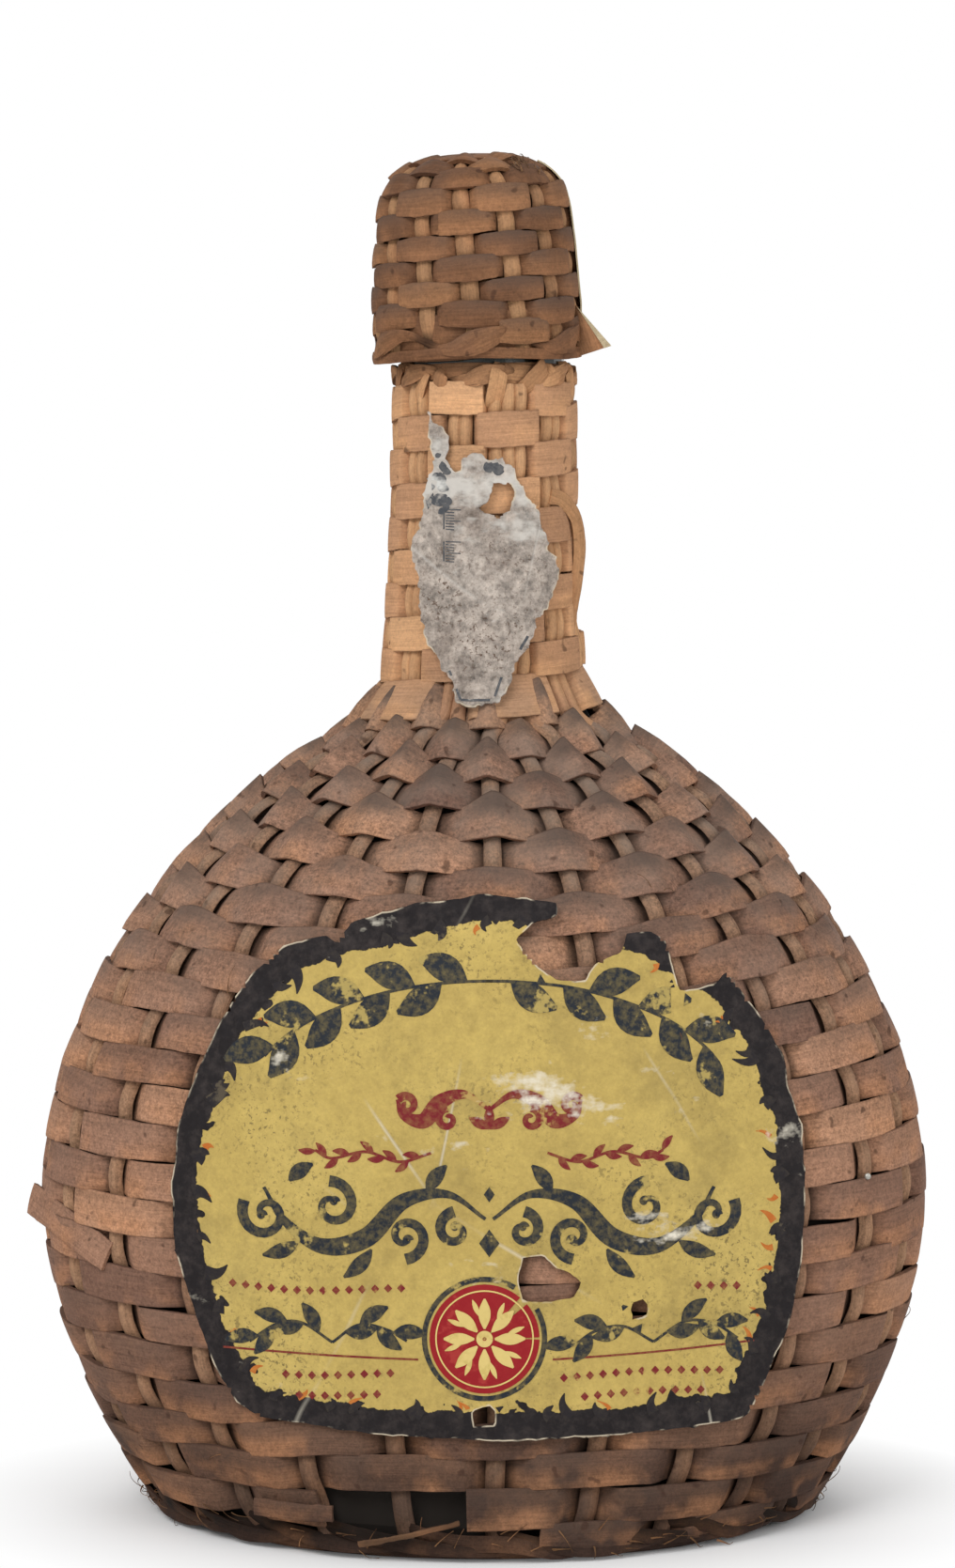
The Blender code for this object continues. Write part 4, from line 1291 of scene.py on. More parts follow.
@dataclass(frozen=True)
class FoldedBorder:
    """The foot's border: strips that leave their stakes, run aslant and tuck under each other.

    Each strip spans so many others, and its levels and depths run from its start to its end.
    The core is the height, depth and half width of the roll behind the strips.
    """

    folds: int
    first: float
    span: float = 2.3
    levels: tuple[float, ...] = (0.0048, 0.0036, 0.0025, 0.0018, 0.0016)
    depths: tuple[float, ...] = (0.0010, 0.0000, -0.0003, 0.0000, 0.0016)
    half_width: float = 0.0013
    core: Point = (0.0019, 0.0009, 0.0019)
    lowest: float = 0.0004
    seed: int = 501

    def build(self) -> None:
        """Make and dress the border."""
        rng = np.random.default_rng(self.seed)
        ring = np.linspace(0, math.tau, 6 * self.folds + 1)
        wobble = 0.0003 * drift(ring * 5, 0.5, self.seed)
        wobble[-1] = wobble[0]
        height, depth, half = self.core
        roll = Course.over(SKIN.point, ring, height + wobble, np.full_like(ring, depth))
        parts = [lay_strip(roll, half, crown=half * 0.55, thickness=0.0009,
                           tone=rng.uniform(0, 0.5, len(ring)), wear=0.45, roughness=0.0001,
                           seed=self.seed)]
        parts += [self.fold(index, rng) for index in range(self.folds)]
        piece = joined(parts)
        places = places_of(piece)
        places[:, 2] = np.maximum(places[:, 2], self.lowest)
        piece.data.vertices.foreach_set("co", places.ravel())
        hand_over(piece, "foot_border_strips", Palette.foot, Home.BASKET, "foot_border")

    def fold(self, index: int, rng: np.random.Generator) -> Object:
        """One strip of the border.

        Args:
            index: Which strip.
            rng: Where its irregularities are drawn from.

        Returns:
            The strip.
        """
        share = np.linspace(0, 1, 26)
        reach = self.span * rng.uniform(0.85, 1.2)
        angle = self.first + math.tau / self.folds * (index + reach * share ** 1.15)
        heights, depths = (through([(level + rng.normal(0, spread),) for level in levels],
                                   len(share))[:, 0]
                           for levels, spread in ((self.levels, 0.00035), (self.depths, 0.0002)))
        half = self.half_width * rng.uniform(0.8, 1.1)
        heights = np.maximum(heights, self.lowest + half * 0.75)
        twist = rng.normal(0, 0.25) + 0.35 * np.sin(share * math.pi * 2 + rng.uniform(0, 6))
        taper = 0.45 + 0.55 * np.sin(np.clip(share * 1.15 + 0.1, 0, 1) * math.pi) ** 0.6
        wear = np.clip(np.sin(share * math.pi) * 1.3 - 0.1, 0, 1)
        course = Course.over(SKIN.point, angle, heights, depths).turned(twist)
        return lay_strip(course, half * taper, crown=0.0003, thickness=0.0006,
                         tone=rng.uniform(0, 1), wear=wear, roughness=0.00018,
                         seed=self.seed + index, columns=STRAND_COLUMNS)


# The weave of the neck
@dataclass
class Neck:
    """The neck's weave, over groups of stakes."""

    body: WovenBody
    groups: int = 11
    rows: int = 9
    foot: float = 0.1319
    top: float = 0.1800
    grouping_rise: float = 0.0030
    stake_spacing: float = 0.0022
    stake_width: float = 0.0024
    finish_change: float = 0.1296
    splint_width: float = 0.0055
    splint_thickness: float = 0.0007
    stations: int = 24
    first_crossing: float = -7.4
    last_crossings: float = 12.9
    loose_angle: float = 1.50
    seed: int = 300
    border: TwinedRim = TwinedRim(
        "neck_border_strips", "neck_border", waves=7, height=0.1858, climb=0.0007, depth=0.0005,
        swing=0.0007, half_width=0.0013,
        rails=((0.1832, 0.1876, 0.0014), (0.1850, 0.1876, 0.0010)), seed=601, ends=13,
        end_levels=(0.1798, 0.1868), end_widths=(0.0009, 0.0020))

    @property
    def pitch(self) -> float:
        """The height of a row."""
        return (self.top - self.foot) / self.rows

    def group_of(self, index: int) -> int:
        """The group on the neck that a stake belongs to."""
        return index * self.groups // self.body.stakes

    def members(self, group: int) -> list[int]:
        """The stakes in a group."""
        return [index for index in range(self.body.stakes) if self.group_of(index) == group]

    def group_angle(self, crossing: Array) -> Array:
        """Where the neck's spiral stands.

        Args:
            crossing: Counts of groups passed since its start.

        Returns:
            The angle at each.
        """
        first = self.members(0)
        start = (self.body.stake_angle(first[0]) + self.body.stake_angle(first[-1])) / 2
        return start + math.tau * np.asarray(crossing, float) / self.groups

    def stake_course(self, index: int) -> tuple[Course, Array, Array, Array]:
        """The line of one stake from the foot of the basket to the top of the neck.

        Args:
            index: Which stake.

        Returns:
            The course, half widths, heights and how far each station stands out.
        """
        body = self.body
        share = np.linspace(-0.03, 1, body.rows * 6)
        own = body.stake_angle(index)
        low = height_on_stake(np.full_like(share, own), share)
        high = np.linspace(SKIN.weave_change, self.top + 0.0045, 64)[1:]
        height = np.maximum(np.concatenate((low, high)), 0.001)
        drawn = smoothstep(height, SKIN.weave_change - 0.002, SKIN.weave_change + self.grouping_rise)
        group = self.group_of(index)
        place = index - (self.members(group)[0] + self.members(group)[-1]) / 2
        radius = SKIN.half_width(height)
        on_neck = self.group_angle(group) + place * self.stake_spacing / radius
        angle = own * (1 - drawn) + on_neck * drawn
        angle = angle + 0.0004 / radius * drift(height / 0.012, index + 0.5, 31)
        body_row = (np.concatenate((share, np.ones(len(high)))) * body.rows - 0.5 - index / body.stakes)
        neck_row = (height - self.foot) / self.pitch - 0.5 - group / self.groups
        out = stands_out(index, body_row) * (1 - drawn) + stands_out(group, neck_row) * drawn
        depth = 0.00085 - 0.00045 * out
        outward = SKIN.axes(angle, height)[1]
        course = Course.along(SKIN.outer(angle, height) - outward * depth[:, None], outward)
        width = np.interp(height, (0.0, 0.054, 0.126, 0.134), (
            body.stake_width, body.stake_width, body.stake_width * 0.92, self.stake_width))
        return course, width / 2, height, (out + 1) / 2

    def build_stakes(self) -> None:
        """Make every stake, as a half-round rod with a paler finish on the neck."""
        for index in range(self.body.stakes):
            course, half, height, out = self.stake_course(index)
            rng = np.random.default_rng(self.seed + index)
            tone = np.clip(rng.uniform(0.2, 0.8) + 0.2 * drift(height / 0.01, index, 37), 0, 1)
            rod = lay_strip(course, half, crown=self.body.stake_thickness * 0.85,
                            thickness=self.body.stake_thickness, tone=tone, wear=0.35 + 0.3 * out,
                            roughness=0.00008, seed=self.seed + index, hollow=2.6)
            number = f"{index + 1:02d}"
            hand_over(rod, "stake_rod_" + number, Palette.stakes, Home.STAKES, "stake_" + number)
            rod.data.materials.append(Palette.neck_stakes.material())
            tall = places_of(rod)[:, 2]
            for face in rod.data.polygons:
                if tall[face.vertices[0]] > self.finish_change:
                    face.material_index = 1

    def reach(self, floats: Floats, height: Array) -> Array:
        """Half the width, in crossings, of the group that each station passes next.

        Args:
            floats: The floats of the splint.
            height: Height of each station.

        Returns:
            The half widths.
        """
        behind = floats.crossing + np.sign(floats.beyond) * (1 - floats.away)
        counts = np.array([len(self.members(group))
                           for group in np.rint(behind).astype(int) % self.groups])
        reach = ((counts - 1) * self.stake_spacing + self.stake_width) / 2
        return reach * self.groups / (math.tau * SKIN.half_width(height))

    def build_splints(self) -> None:
        """Weave the neck's splints."""
        rng = np.random.default_rng(self.seed)
        last = (self.rows - 1) * self.groups
        for number, low, high in spiral_runs(self.groups, self.rows, self.first_crossing,
                                             self.last_crossings):
            crossing = np.linspace(low, high, int((high - low) * self.stations))
            floats = Floats(crossing, self.groups, (-2 - self.groups, last + 2 * self.groups), rng)
            angle = self.group_angle(crossing)
            height = np.clip(self.foot + self.pitch * (0.5 + crossing / self.groups),
                             self.foot + self.pitch * 0.20, self.top + 0.0020)
            start = 0.86 - self.reach(floats, height)
            dip = smoothstep(floats.away, start, start + 0.14)
            depth = 0.00022 - 0.00018 * np.cos(math.pi * floats.away / 2) + 0.0021 * dip
            depth += floats.vary(0.0001)
            # where the loop has sprung out, the strips behind it sit deeper and take the painted shade of
            # the tucks
            sprung = (np.exp(-((np.mod(angle, math.tau) - self.loose_angle) / 0.30) ** 2)
                      * smoothstep(height, 0.1420, 0.1450) * smoothstep(height, 0.1670, 0.1640))
            depth += 0.0015 * sprung
            foot = smoothstep(height, self.foot + self.pitch * 1.3, self.foot + self.pitch * 0.5)
            half = self.splint_width / 2 * (1.0 + 0.03 * np.cos(math.pi * crossing))
            half *= (1 + floats.vary(0.035)) * (1 + 0.30 * foot)
            up, outward = SKIN.axes(angle, height)
            middle = SKIN.outer(angle, height) - outward * depth[:, None]
            middle += up * floats.vary(0.0002)[:, None]
            tone = floats.tones() * (1 - 0.5 * foot)
            strip = lay_strip(Course(middle, up, outward).turned(floats.vary(0.04)), half,
                              crown=0.00010, thickness=self.splint_thickness, tone=tone,
                              wear=(1 - 0.9 * dip) * (1 - 0.85 * sprung), roughness=0.00012,
                              seed=self.seed + 7 * number, hollow=3.2)
            hand_over(strip, f"woven_neck_{number + 1}", Palette.neck, Home.NECK,
                      f"neck_splint_{number + 1}")

    def build_border(self) -> None:
        """Twist the border over the ends of the stakes."""
        self.border.build(SKIN.point, Palette.neck_rim, Home.NECK)


# The cap
@dataclass
class Cap:
    """The woven cap, built round its own leaning axis with its rim at zero.

    A travel is a distance along its outside, from the rim up to the middle of its top.
    """

    height: float = 0.0338
    rim_radius: float = 0.0173
    rim_height: float = 0.18808
    lean: float = math.radians(-1.6)
    twist: float = math.radians(-14)
    stakes: int = 13
    rows: int = 9
    weave_foot: float = 0.00551
    weave_top: float = 0.03886
    lowest_travel: float = 0.0046
    splint_width: float = 0.0038
    splint_thickness: float = 0.0007
    stake_width: float = 0.0030
    aside: float = -0.0011
    stations: int = 20
    last_crossings: float = 5.5
    profile: Shares = ((1.0, 0.0), (0.985, 0.16), (0.95, 0.47), (0.890, 0.76), (0.79, 0.88),
                       (0.60, 0.950), (0.32, 0.990), (0.0, 1.0))
    top_reach: float = 0.0118
    tab_angle: float = math.radians(91)
    flap: Sequence[Point] = (
        (0.0148, -0.0030, 0.1970), (0.0201, -0.0040, 0.1904), (0.0152, -0.0040, 0.1888))
    frays: int = 26
    probe: float = 0.0016
    seed: int = 700
    border: TwinedRim = TwinedRim(
        "cap_rim", "cap_border", waves=6, height=0.0031, climb=0.0011, depth=0.0000,
        swing=0.0006, half_width=0.0015,
        rails=((0.0004, 0.0078, 0.0011), (0.0002, 0.0020, 0.0001)), seed=811)

    # Direction, offset, start, end and depth of each strip on top, the last one broken off
    top_strips: Rows = ((1.35, -0.0035, -1, 1, 0.0009), (1.35, 0.0035, -1, 1, 0.0009),
                        (-0.10, -0.0048, -1, 1, 0.0003), (-0.16, 0.0002, -1, 1, 0.0001),
                        (-0.06, 0.0050, -1, 0.15, 0.0003))

    def __post_init__(self) -> None:
        """Work out the outline and the cap's turn."""
        self.line = through(self.profile, 160) * (self.rim_radius, self.height)
        self.travels = travelled(self.line)
        self.turn = np.array(Matrix.Rotation(self.lean, 3, "Y"))

    @property
    def pitch(self) -> float:
        """The height of a row."""
        return (self.weave_top - self.weave_foot) / self.rows

    def placed(self, points: Array) -> Array:
        """Points of the cap's own frame, in the model's."""
        return points @ self.turn.T + (self.aside, 0, self.rim_height)

    def course(self, points: Array, outward: Array, depth: Array) -> Course:
        """A course under points of the cap's own frame, by a depth at each."""
        return Course.along(self.placed(points - outward * depth[:, None]), outward @ self.turn.T)

    def axes(self, angle: Array, travel: Array) -> tuple[Array, Array, Array]:
        """Places on the cap's outside, in its own frame.

        Args:
            angle: Angle of each place.
            travel: Travel of each place.

        Returns:
            The points, and the directions up and out at each.
        """
        radius, height = read_along(self.line, self.travels, travel).T
        rise, climb = unit(read_along(self.line, self.travels, travel + self.probe)
                           - read_along(self.line, self.travels, travel - self.probe)).T
        sin, cos = np.sin(angle), np.cos(angle)
        up = np.stack((rise * sin, -rise * cos, climb), axis=-1)
        across = np.stack((cos, sin, np.zeros_like(angle)), axis=-1)
        return np.stack((radius * sin, -radius * cos, height), axis=-1), up, np.cross(across, up)

    def point(self, angle: Array, travel: Array, depth: Array) -> Array:
        """Points under the cap's outside, in the model's frame."""
        spot, _, outward = self.axes(angle, travel)
        return self.placed(spot - outward * depth[:, None])

    def rim_point(self, angle: Array, height: Array, depth: Array) -> Array:
        """Points inside the cap's outside, level with heights over its rim."""
        radius = np.interp(height, self.line[:, 1], self.line[:, 0]) - depth
        return self.placed(np.stack((radius * np.sin(angle), -radius * np.cos(angle), height), axis=-1))

    def stake_angle(self, crossing: Amount, travel: Array) -> Array:
        """Where a stake, or the spiral, stands."""
        return (math.tau * np.asarray(crossing, float) / self.stakes
                + self.twist * travel / self.travels[-1])

    def build_splints(self) -> None:
        """Weave the cap's splints."""
        rng = np.random.default_rng(self.seed)
        last = (self.rows - 1) * self.stakes
        for number, low, high in spiral_runs(self.stakes, self.rows, 0.5 - self.stakes,
                                             self.last_crossings):
            crossing = np.linspace(low, high, int((high - low) * self.stations))
            floats = Floats(crossing, self.stakes, (-2 - self.stakes, last + 8), rng)
            travel = np.maximum(self.weave_foot + self.pitch * (0.5 + crossing / self.stakes),
                                self.lowest_travel)
            away = floats.away
            dome = smoothstep(travel, 0.026, 0.034)
            arch = (1 - np.cos(math.pi * away)) / 2
            late = smoothstep(away, 0.60, 1.0)
            dip = smoothstep(away, 0.56, 0.90) * (1 - dome) + (0.5 * arch + 0.4 * late) * dome
            depth = 0.00002 - 0.0002 * np.cos(math.pi * away / 2) + floats.vary(0.0001)
            depth += 0.0019 * dip
            half = self.splint_width / 2 * (1 + 0.13 * np.cos(math.pi * crossing) * (1 - dome))
            half *= (1 + floats.vary(0.06)) * (1 + 0.18 * dome)
            spot, up, outward = self.axes(self.stake_angle(crossing, travel), travel)
            spot = spot - outward * depth[:, None] + up * floats.vary(0.0002)[:, None]
            course = Course(self.placed(spot), up @ self.turn.T, outward @ self.turn.T)
            tone = floats.tones()
            strip = lay_strip(course.turned(floats.vary(0.05)), half, crown=0.00018,
                              thickness=self.splint_thickness, tone=tone, wear=1 - dip,
                              roughness=0.00014, seed=self.seed + 9 * number, hollow=2.8)
            hand_over(strip, f"woven_cap_{number + 1}", Palette.cap, Home.CAP, f"cap_splint_{number + 1}")

    def build_frame(self) -> None:
        """Make the cap's stakes."""
        parts = []
        travel = np.linspace(0.0015, self.travels[-1] * 0.97, 110)
        width = np.interp(travel, (0, 0.022, 0.036, 0.046), (0.5, 0.5, 0.36, 0.30))
        for index in range(self.stakes):
            row = (travel - self.weave_foot) / self.pitch - 0.5 - index / self.stakes
            out = stands_out(index, row)
            depth = 0.00065 - 0.0003 * out + 0.0004 * smoothstep(travel, 0.036, 0.042)
            spot, _, outward = self.axes(self.stake_angle(index, travel), travel)
            tone = np.random.default_rng(self.seed + index).uniform(0, 1)
            parts.append(lay_strip(self.course(spot, outward, depth), width * self.stake_width,
                                   crown=0.0009, thickness=0.0010, tone=tone, wear=0.35 + 0.3 * out,
                                   roughness=0.00008, seed=self.seed + 20 + index, hollow=2.6))
        hand_over(parts, "cap_stakes", Palette.cap_stakes, Home.CAP, "cap_frame")

    def build_top(self) -> None:
        """Lay the broad strips that cross on the cap's top, one of them broken off short."""
        parts = []
        rng = np.random.default_rng(self.seed + 90)
        radii, heights = self.line[::-1].T
        for index, (way, offset, first, last, depth) in enumerate(self.top_strips):
            reach = self.top_reach - 0.15 * abs(offset)
            run = np.linspace(first, last, 34) * reach
            x = run * math.cos(way) - offset * math.sin(way)
            y = run * math.sin(way) + offset * math.cos(way)
            radius = np.hypot(x, y)
            spot = np.stack((x, y, np.interp(radius, radii, heights)), axis=1)
            fall = (np.interp(radius, radii, np.gradient(heights, radii)) / np.maximum(radius, 0.0003))
            outward = unit(np.stack((-x * fall, -y * fall, np.ones_like(x)), axis=1))
            course = self.course(spot, outward, depth + 0.0018 * np.abs(run / reach) ** 6)
            parts.append(lay_strip(course, 0.0026 * rng.uniform(0.9, 1.05), crown=0.0003,
                                   thickness=0.0007, tone=rng.uniform(0, 1), wear=0.9,
                                   roughness=0.00014, seed=self.seed + 91 + index))
        hand_over(parts, "cap_top_strips", Palette.cap, Home.CAP)

    def build_border(self) -> None:
        """Make the cap's rim of twisted strips."""
        self.border.build(self.rim_point, Palette.cap, Home.CAP)

    def build_tab(self) -> None:
        """Make the paper strip down the cap's side, folded out to a flap at its lower end."""
        share = np.linspace(0, 1, 60)
        travel = self.travels[-1] * (0.76 - 0.62 * share)
        angle = self.tab_angle + 0.03 * drift(share * 4, 2.5, 5)
        spot, _, outward = self.axes(angle, travel)
        course = self.course(spot, outward, -0.0003 + 0.00015 * drift(share * 9, 0.5, 5))
        strip = lay_strip(course, 0.0024, crown=0.0001, thickness=0.00022, tone=0.5, wear=0.6,
                          roughness=0.0002, seed=17, columns=(-1, -0.6, 0, 0.6, 1))
        # the flap: from the strip's end out and down to a corner, and back to the rim
        fold, corner, heel = np.array(self.flap)
        run = np.linspace(0, 1, 16)[:, None, None]
        over = np.linspace(0, 1, 7)[None, :, None]
        bulge = 0.0006 * np.sin(run * math.pi) * np.sin(over * math.pi)
        sheet = (fold * (1 - run) + (corner * (1 - over) + heel * over) * run
                 + bulge * np.array((0.3, -1.0, 0)))
        flap = lay_grid(sheet, np.linspace(-1, 1, 7), tone=0.1, wear=0.45, thickness=0.00022)
        hand_over(flap, "cap_tab_flap", Palette.neck_rim, Home.CAP)
        edge = np.stack([sheet[:, 0] + (sheet[:, -1] - sheet[:, 0]) * part
                         for part in (-0.08, 0.04, 0.16)], axis=1) + (0.0001, -0.0004, 0)
        piece = joined([strip, lay_grid(edge, np.linspace(-1, 1, 3), tone=0.5, wear=0.5,
                                        thickness=0.0002)])
        # the paper's finish prints and tears only nearer to an edge than this
        far = np.full(len(piece.data.vertices), 9.0)
        keep_numbers(piece.data, rim=far, torn=far)
        hand_over(piece, "cap_tab", Palette.tab, Home.TAB, "cap_paper_tab")

    def build_fray(self) -> None:
        """Fray the broken end at the cap's top."""
        rng = np.random.default_rng(self.seed + 60)
        parts = []
        share = np.linspace(0, 1, 7)
        for _ in range(self.frays):
            lean = rng.uniform(-0.9, 0.9)
            length = rng.uniform(0.0012, 0.0028)
            angle = rng.uniform(0.60, 0.95) + length * share * math.sin(lean) / 0.012
            travel = rng.uniform(0.0300, 0.0345) + length * share * math.cos(lean)
            proud = rng.uniform(0.0001, 0.0006) * np.sin(share * math.pi * 0.8) + 0.0002
            course = Course.over(self.point, angle, travel, -proud)
            parts.append(lay_fibre(course, rng.uniform(0.00008, 0.00022), rng.uniform(0, 1)))
        hand_over(parts, "cap_frayed_end", Palette.fibre, Home.CAP)


# Papers
def signed_distance(points: Array, loop: Array) -> Array:
    """How far points lie inside a closed outline, or outside it as a negative number.

    Args:
        points: Places (n, 2).
        loop: The outline's corners in order.

    Returns:
        One distance to a point.
    """
    edge = np.roll(loop, -1, axis=0) - loop
    length = (edge ** 2).sum(axis=1)
    after = loop + edge
    rise = np.where(edge[:, 1] == 0, 1e-12, edge[:, 1])
    result = np.empty(len(points))
    batch_size = 2000
    for start in range(0, len(points), batch_size):
        batch = points[start:start + batch_size]
        away = batch[:, None] - loop[None]
        t = np.clip((away * edge).sum(axis=2) / length, 0, 1)
        nearest = np.sqrt(((away - t[..., None] * edge) ** 2).sum(axis=2)).min(axis=1)
        spans = (loop[:, 1] > batch[:, None, 1]) != (after[:, 1] > batch[:, None, 1])
        cut = loop[:, 0] + (batch[:, None, 1] - loop[:, 1]) / rise * edge[:, 0]
        inside = (spans & (batch[:, None, 0] < cut)).sum(axis=1) % 2 == 1
        result[start:start + batch_size] = np.where(inside, nearest, -nearest)
    return result


def closed(loop: Array) -> Array:
    """An outline with its first corner once more at its end."""
    return np.vstack((loop, loop[:1]))


def roughened(loop: Array, step: float, amount: float, seed: int) -> Array:
    """A closed outline resampled finely, with a torn, wandering edge.

    Args:
        loop: Its corners.
        step: Distance between the new corners.
        amount: How far the edge wanders.
        seed: Which edge to draw.

    Returns:
        The new corners.
    """
    distances = travelled(closed(loop))
    places = np.arange(0, distances[-1], step)
    fine = read_along(closed(loop), distances, places)
    way = unit(np.roll(fine, -1, axis=0) - np.roll(fine, 1, axis=0))
    out = np.stack((way[:, 1], -way[:, 0]), axis=1)
    waves = (0.4 * drift(places / step / 7, 0.5, seed) + 0.4 * drift(places / step / 3, 2.5, seed)
             + 0.35 * drift(places / step / 1.2, 5.5, seed))
    return fine + out * (amount * waves)[:, None]


@dataclass(frozen=True)
class Eye:
    """Where the photograph was taken from, and the pixel column and row straight ahead.

    The sharpness is how many pixels a metre takes up, seen from a metre away.
    """

    distance: float = 0.852
    height: float = 0.1877
    aside: float = -0.0011
    column: float = 508.0
    row: float = 384.0
    sharpness: float = 5500.0

    def points(self, spots: Sequence[Point]) -> Array:
        """Places seen in the photograph, as points of the model.

        Args:
            spots: Pixels, each with its distance in front of the flask's axis.

        Returns:
            The points.
        """
        columns, rows, ahead = np.array(spots, float).T
        scale = self.sharpness / (self.distance - ahead)
        return np.stack(((columns - self.column) / scale + self.aside, -ahead,
                         self.height - (rows - self.row) / scale), axis=1)


EYE = Eye()


@dataclass
class TornPaper:
    """A sheet pasted on the wicker, torn and holed, with print laid on it.

    Its outlines, before and after it tore, and its holes are photograph pixels, and the scale
    is how many of them make a metre where it lies. Its back is lifted off the weave, its edge
    is ragged, its faces are a cell wide, and print keeps a margin from its tears.
    """

    name: str
    node: str
    home: Home
    whole: Pixels
    torn: Pixels
    holes: Sequence[Pixels]
    scale: float
    cell: float
    lift: float
    ragged: float
    crumple: float
    weave: WovenBody | None
    seed: int
    axis_column: float = 515.0
    thickness: float = 0.00022
    print_margin: float = 0.00025

    def __post_init__(self) -> None:
        """Turn the outlines into metres and tear them."""
        self.whole_line = self.metres(self.whole)
        self.lines = [roughened(self.metres(self.torn), 0.0005, self.ragged, self.seed)]
        self.lines += [roughened(self.metres(hole), 0.0003, self.ragged * 0.6, self.seed + i + 1)
                       for i, hole in enumerate(self.holes)]

    def metres(self, pixels: Pixels | Array) -> Array:
        """Photograph pixels as places across and up the flask's front."""
        columns, rows = np.moveaxis(np.array(pixels, float), -1, 0)
        return np.stack(((columns - self.axis_column) / self.scale,
                         EYE.height - (rows - EYE.row) / self.scale), axis=-1)

    def curve(self, pixels: Pixels, count: int) -> Array:
        """A smooth line through photograph pixels, in metres."""
        return self.metres(through(pixels, count))

    def straight(self, start: Sequence[float], end: Sequence[float], count: int) -> Array:
        """A straight line between photograph pixels, in metres."""
        return self.metres(np.linspace(start, end, count))

    def inside(self, points: Array) -> Array:
        """How far places lie inside what is left of the sheet.

        Args:
            points: Places of its plane (n, 2).

        Returns:
            The distances, negative outside.
        """
        distance = signed_distance(points, self.lines[0])
        for line in self.lines[1:]:
            distance = np.minimum(distance, -signed_distance(points, line))
        return distance

    def laid(self, spots: Array, over: float, inside: Array) -> Array:
        """Places of the sheet's plane, as points over the weave.

        Args:
            spots: Places across and up, (..., 2).
            over: Extra height over the sheet's face.
            inside: How far each lies inside the sheet, for the curl of its edge.

        Returns:
            Points in the model's frame.
        """
        across, height = spots[..., 0], spots[..., 1]
        rise = self.lift + self.thickness + over
        reach = SKIN.half_width(height) + rise
        angle = np.arcsin(np.clip(across / reach, -0.985, 0.985))
        waves = (0.6 * drift(across / 0.011, height / 0.008, self.seed)
                 + 0.25 * drift(across / 0.004, height / 0.005, self.seed + 1)
                 + 0.15 * drift((across + height) / 0.002, (height - across) / 0.009, self.seed + 2))
        rise = rise + self.crumple * waves
        if self.weave:
            rise = rise + self.weave.swell(height) + 0.00016 * self.weave.relief(angle, height)
        curl = np.exp(-np.maximum(inside, 0) / 0.0014)
        rise = rise + 0.0005 * curl * (0.4 + drift(across / 0.006, height / 0.006, self.seed + 3))
        return SKIN.point(angle, height, -rise)

    def drawn_in(self, spots: Array) -> Array:
        """Draw the places that lie next to the torn edge onto it.

        Args:
            spots: Places of the sheet's vertices, which are moved.

        Returns:
            How far each lies inside the sheet.
        """
        distance = self.inside(spots)
        near = np.abs(distance) < self.cell * 0.62
        probe = 0.00004
        slope = np.stack([self.inside(spots[near] + step) - self.inside(spots[near] - step)
                          for step in np.eye(2) * probe], axis=1) / (2 * probe)
        slope /= np.maximum(np.linalg.norm(slope, axis=1, keepdims=True), 0.3)
        spots[near] -= slope * distance[near][:, None]
        distance[near] = 0
        return distance

    def build(self, finish: Finish) -> None:
        """Make and dress the sheet.

        Args:
            finish: Its finish.
        """
        low, high = self.lines[0].min(axis=0), self.lines[0].max(axis=0)
        columns, rows = (int(count) for count in np.ceil((high - low) / self.cell))
        piece, shares = new_grid(columns, rows)
        spots = low + shares * (high - low)
        distance = self.drawn_in(spots)
        shape(piece, self.laid(spots, 0.0, distance), spots / CENTIMETRE)
        keep_numbers(piece.data, rim=signed_distance(spots, self.whole_line) / MILLIMETRE,
                     torn=distance / MILLIMETRE)
        bpy.ops.object.mode_set(mode="EDIT")
        bpy.ops.mesh.select_all(action="DESELECT")
        bpy.ops.object.mode_set(mode="OBJECT")
        piece.data.vertices.foreach_set("select", distance < -self.cell * 0.3)
        bpy.ops.object.mode_set(mode="EDIT")
        bpy.ops.mesh.delete(type="VERT")
        bpy.ops.object.mode_set(mode="OBJECT")
        thicken(piece, self.thickness)
        hand_over(piece, self.name, finish, self.home, self.node, angle=60)

    def stroke(self, line: Array, half_width: Amount, layer: int,
               columns: Sequence[float] = STROKE_COLUMNS) -> list[Object]:
        """A printed line, cut off where the sheet is torn away.

        Args:
            line: Its middle, in metres on the sheet's plane.
            half_width: Half its width at each station.
            layer: How many layers of ink it lies over the sheet.
            columns: Where its vertices lie over its width.

        Returns:
            The pieces of the line that are left.
        """
        way = unit(np.gradient(line, axis=0))
        side = np.stack((-way[:, 1], way[:, 0]), axis=1)
        across = np.asarray(columns, float)
        half = np.broadcast_to(half_width, len(line))[:, None] * across
        spots = line[:, None] + side[:, None] * half[..., None]
        inside = self.inside(spots.reshape(-1, 2)).reshape(half.shape)
        kept = np.concatenate(([False], inside.min(axis=1) > self.print_margin, [False]))
        changes = np.flatnonzero(kept[1:] != kept[:-1])
        return [lay_grid(self.laid(spots[start:end], layer * INK_LAYER, inside[start:end]),
                         across, tone=0.5, wear=0.5, thickness=INK_THICKNESS)
                for start, end in zip(changes[::2], changes[1::2]) if end - start > 1]

    def print_on(self, name: str, finish: Finish, strokes: list[Stroke]) -> None:
        """Lay a set of strokes on the sheet as one piece.

        Args:
            name: The piece's name.
            finish: Its finish.
            strokes: The strokes.
        """
        parts = []
        for stroke in strokes:
            parts += self.stroke(*stroke)
        hand_over(parts, name, finish, self.home)


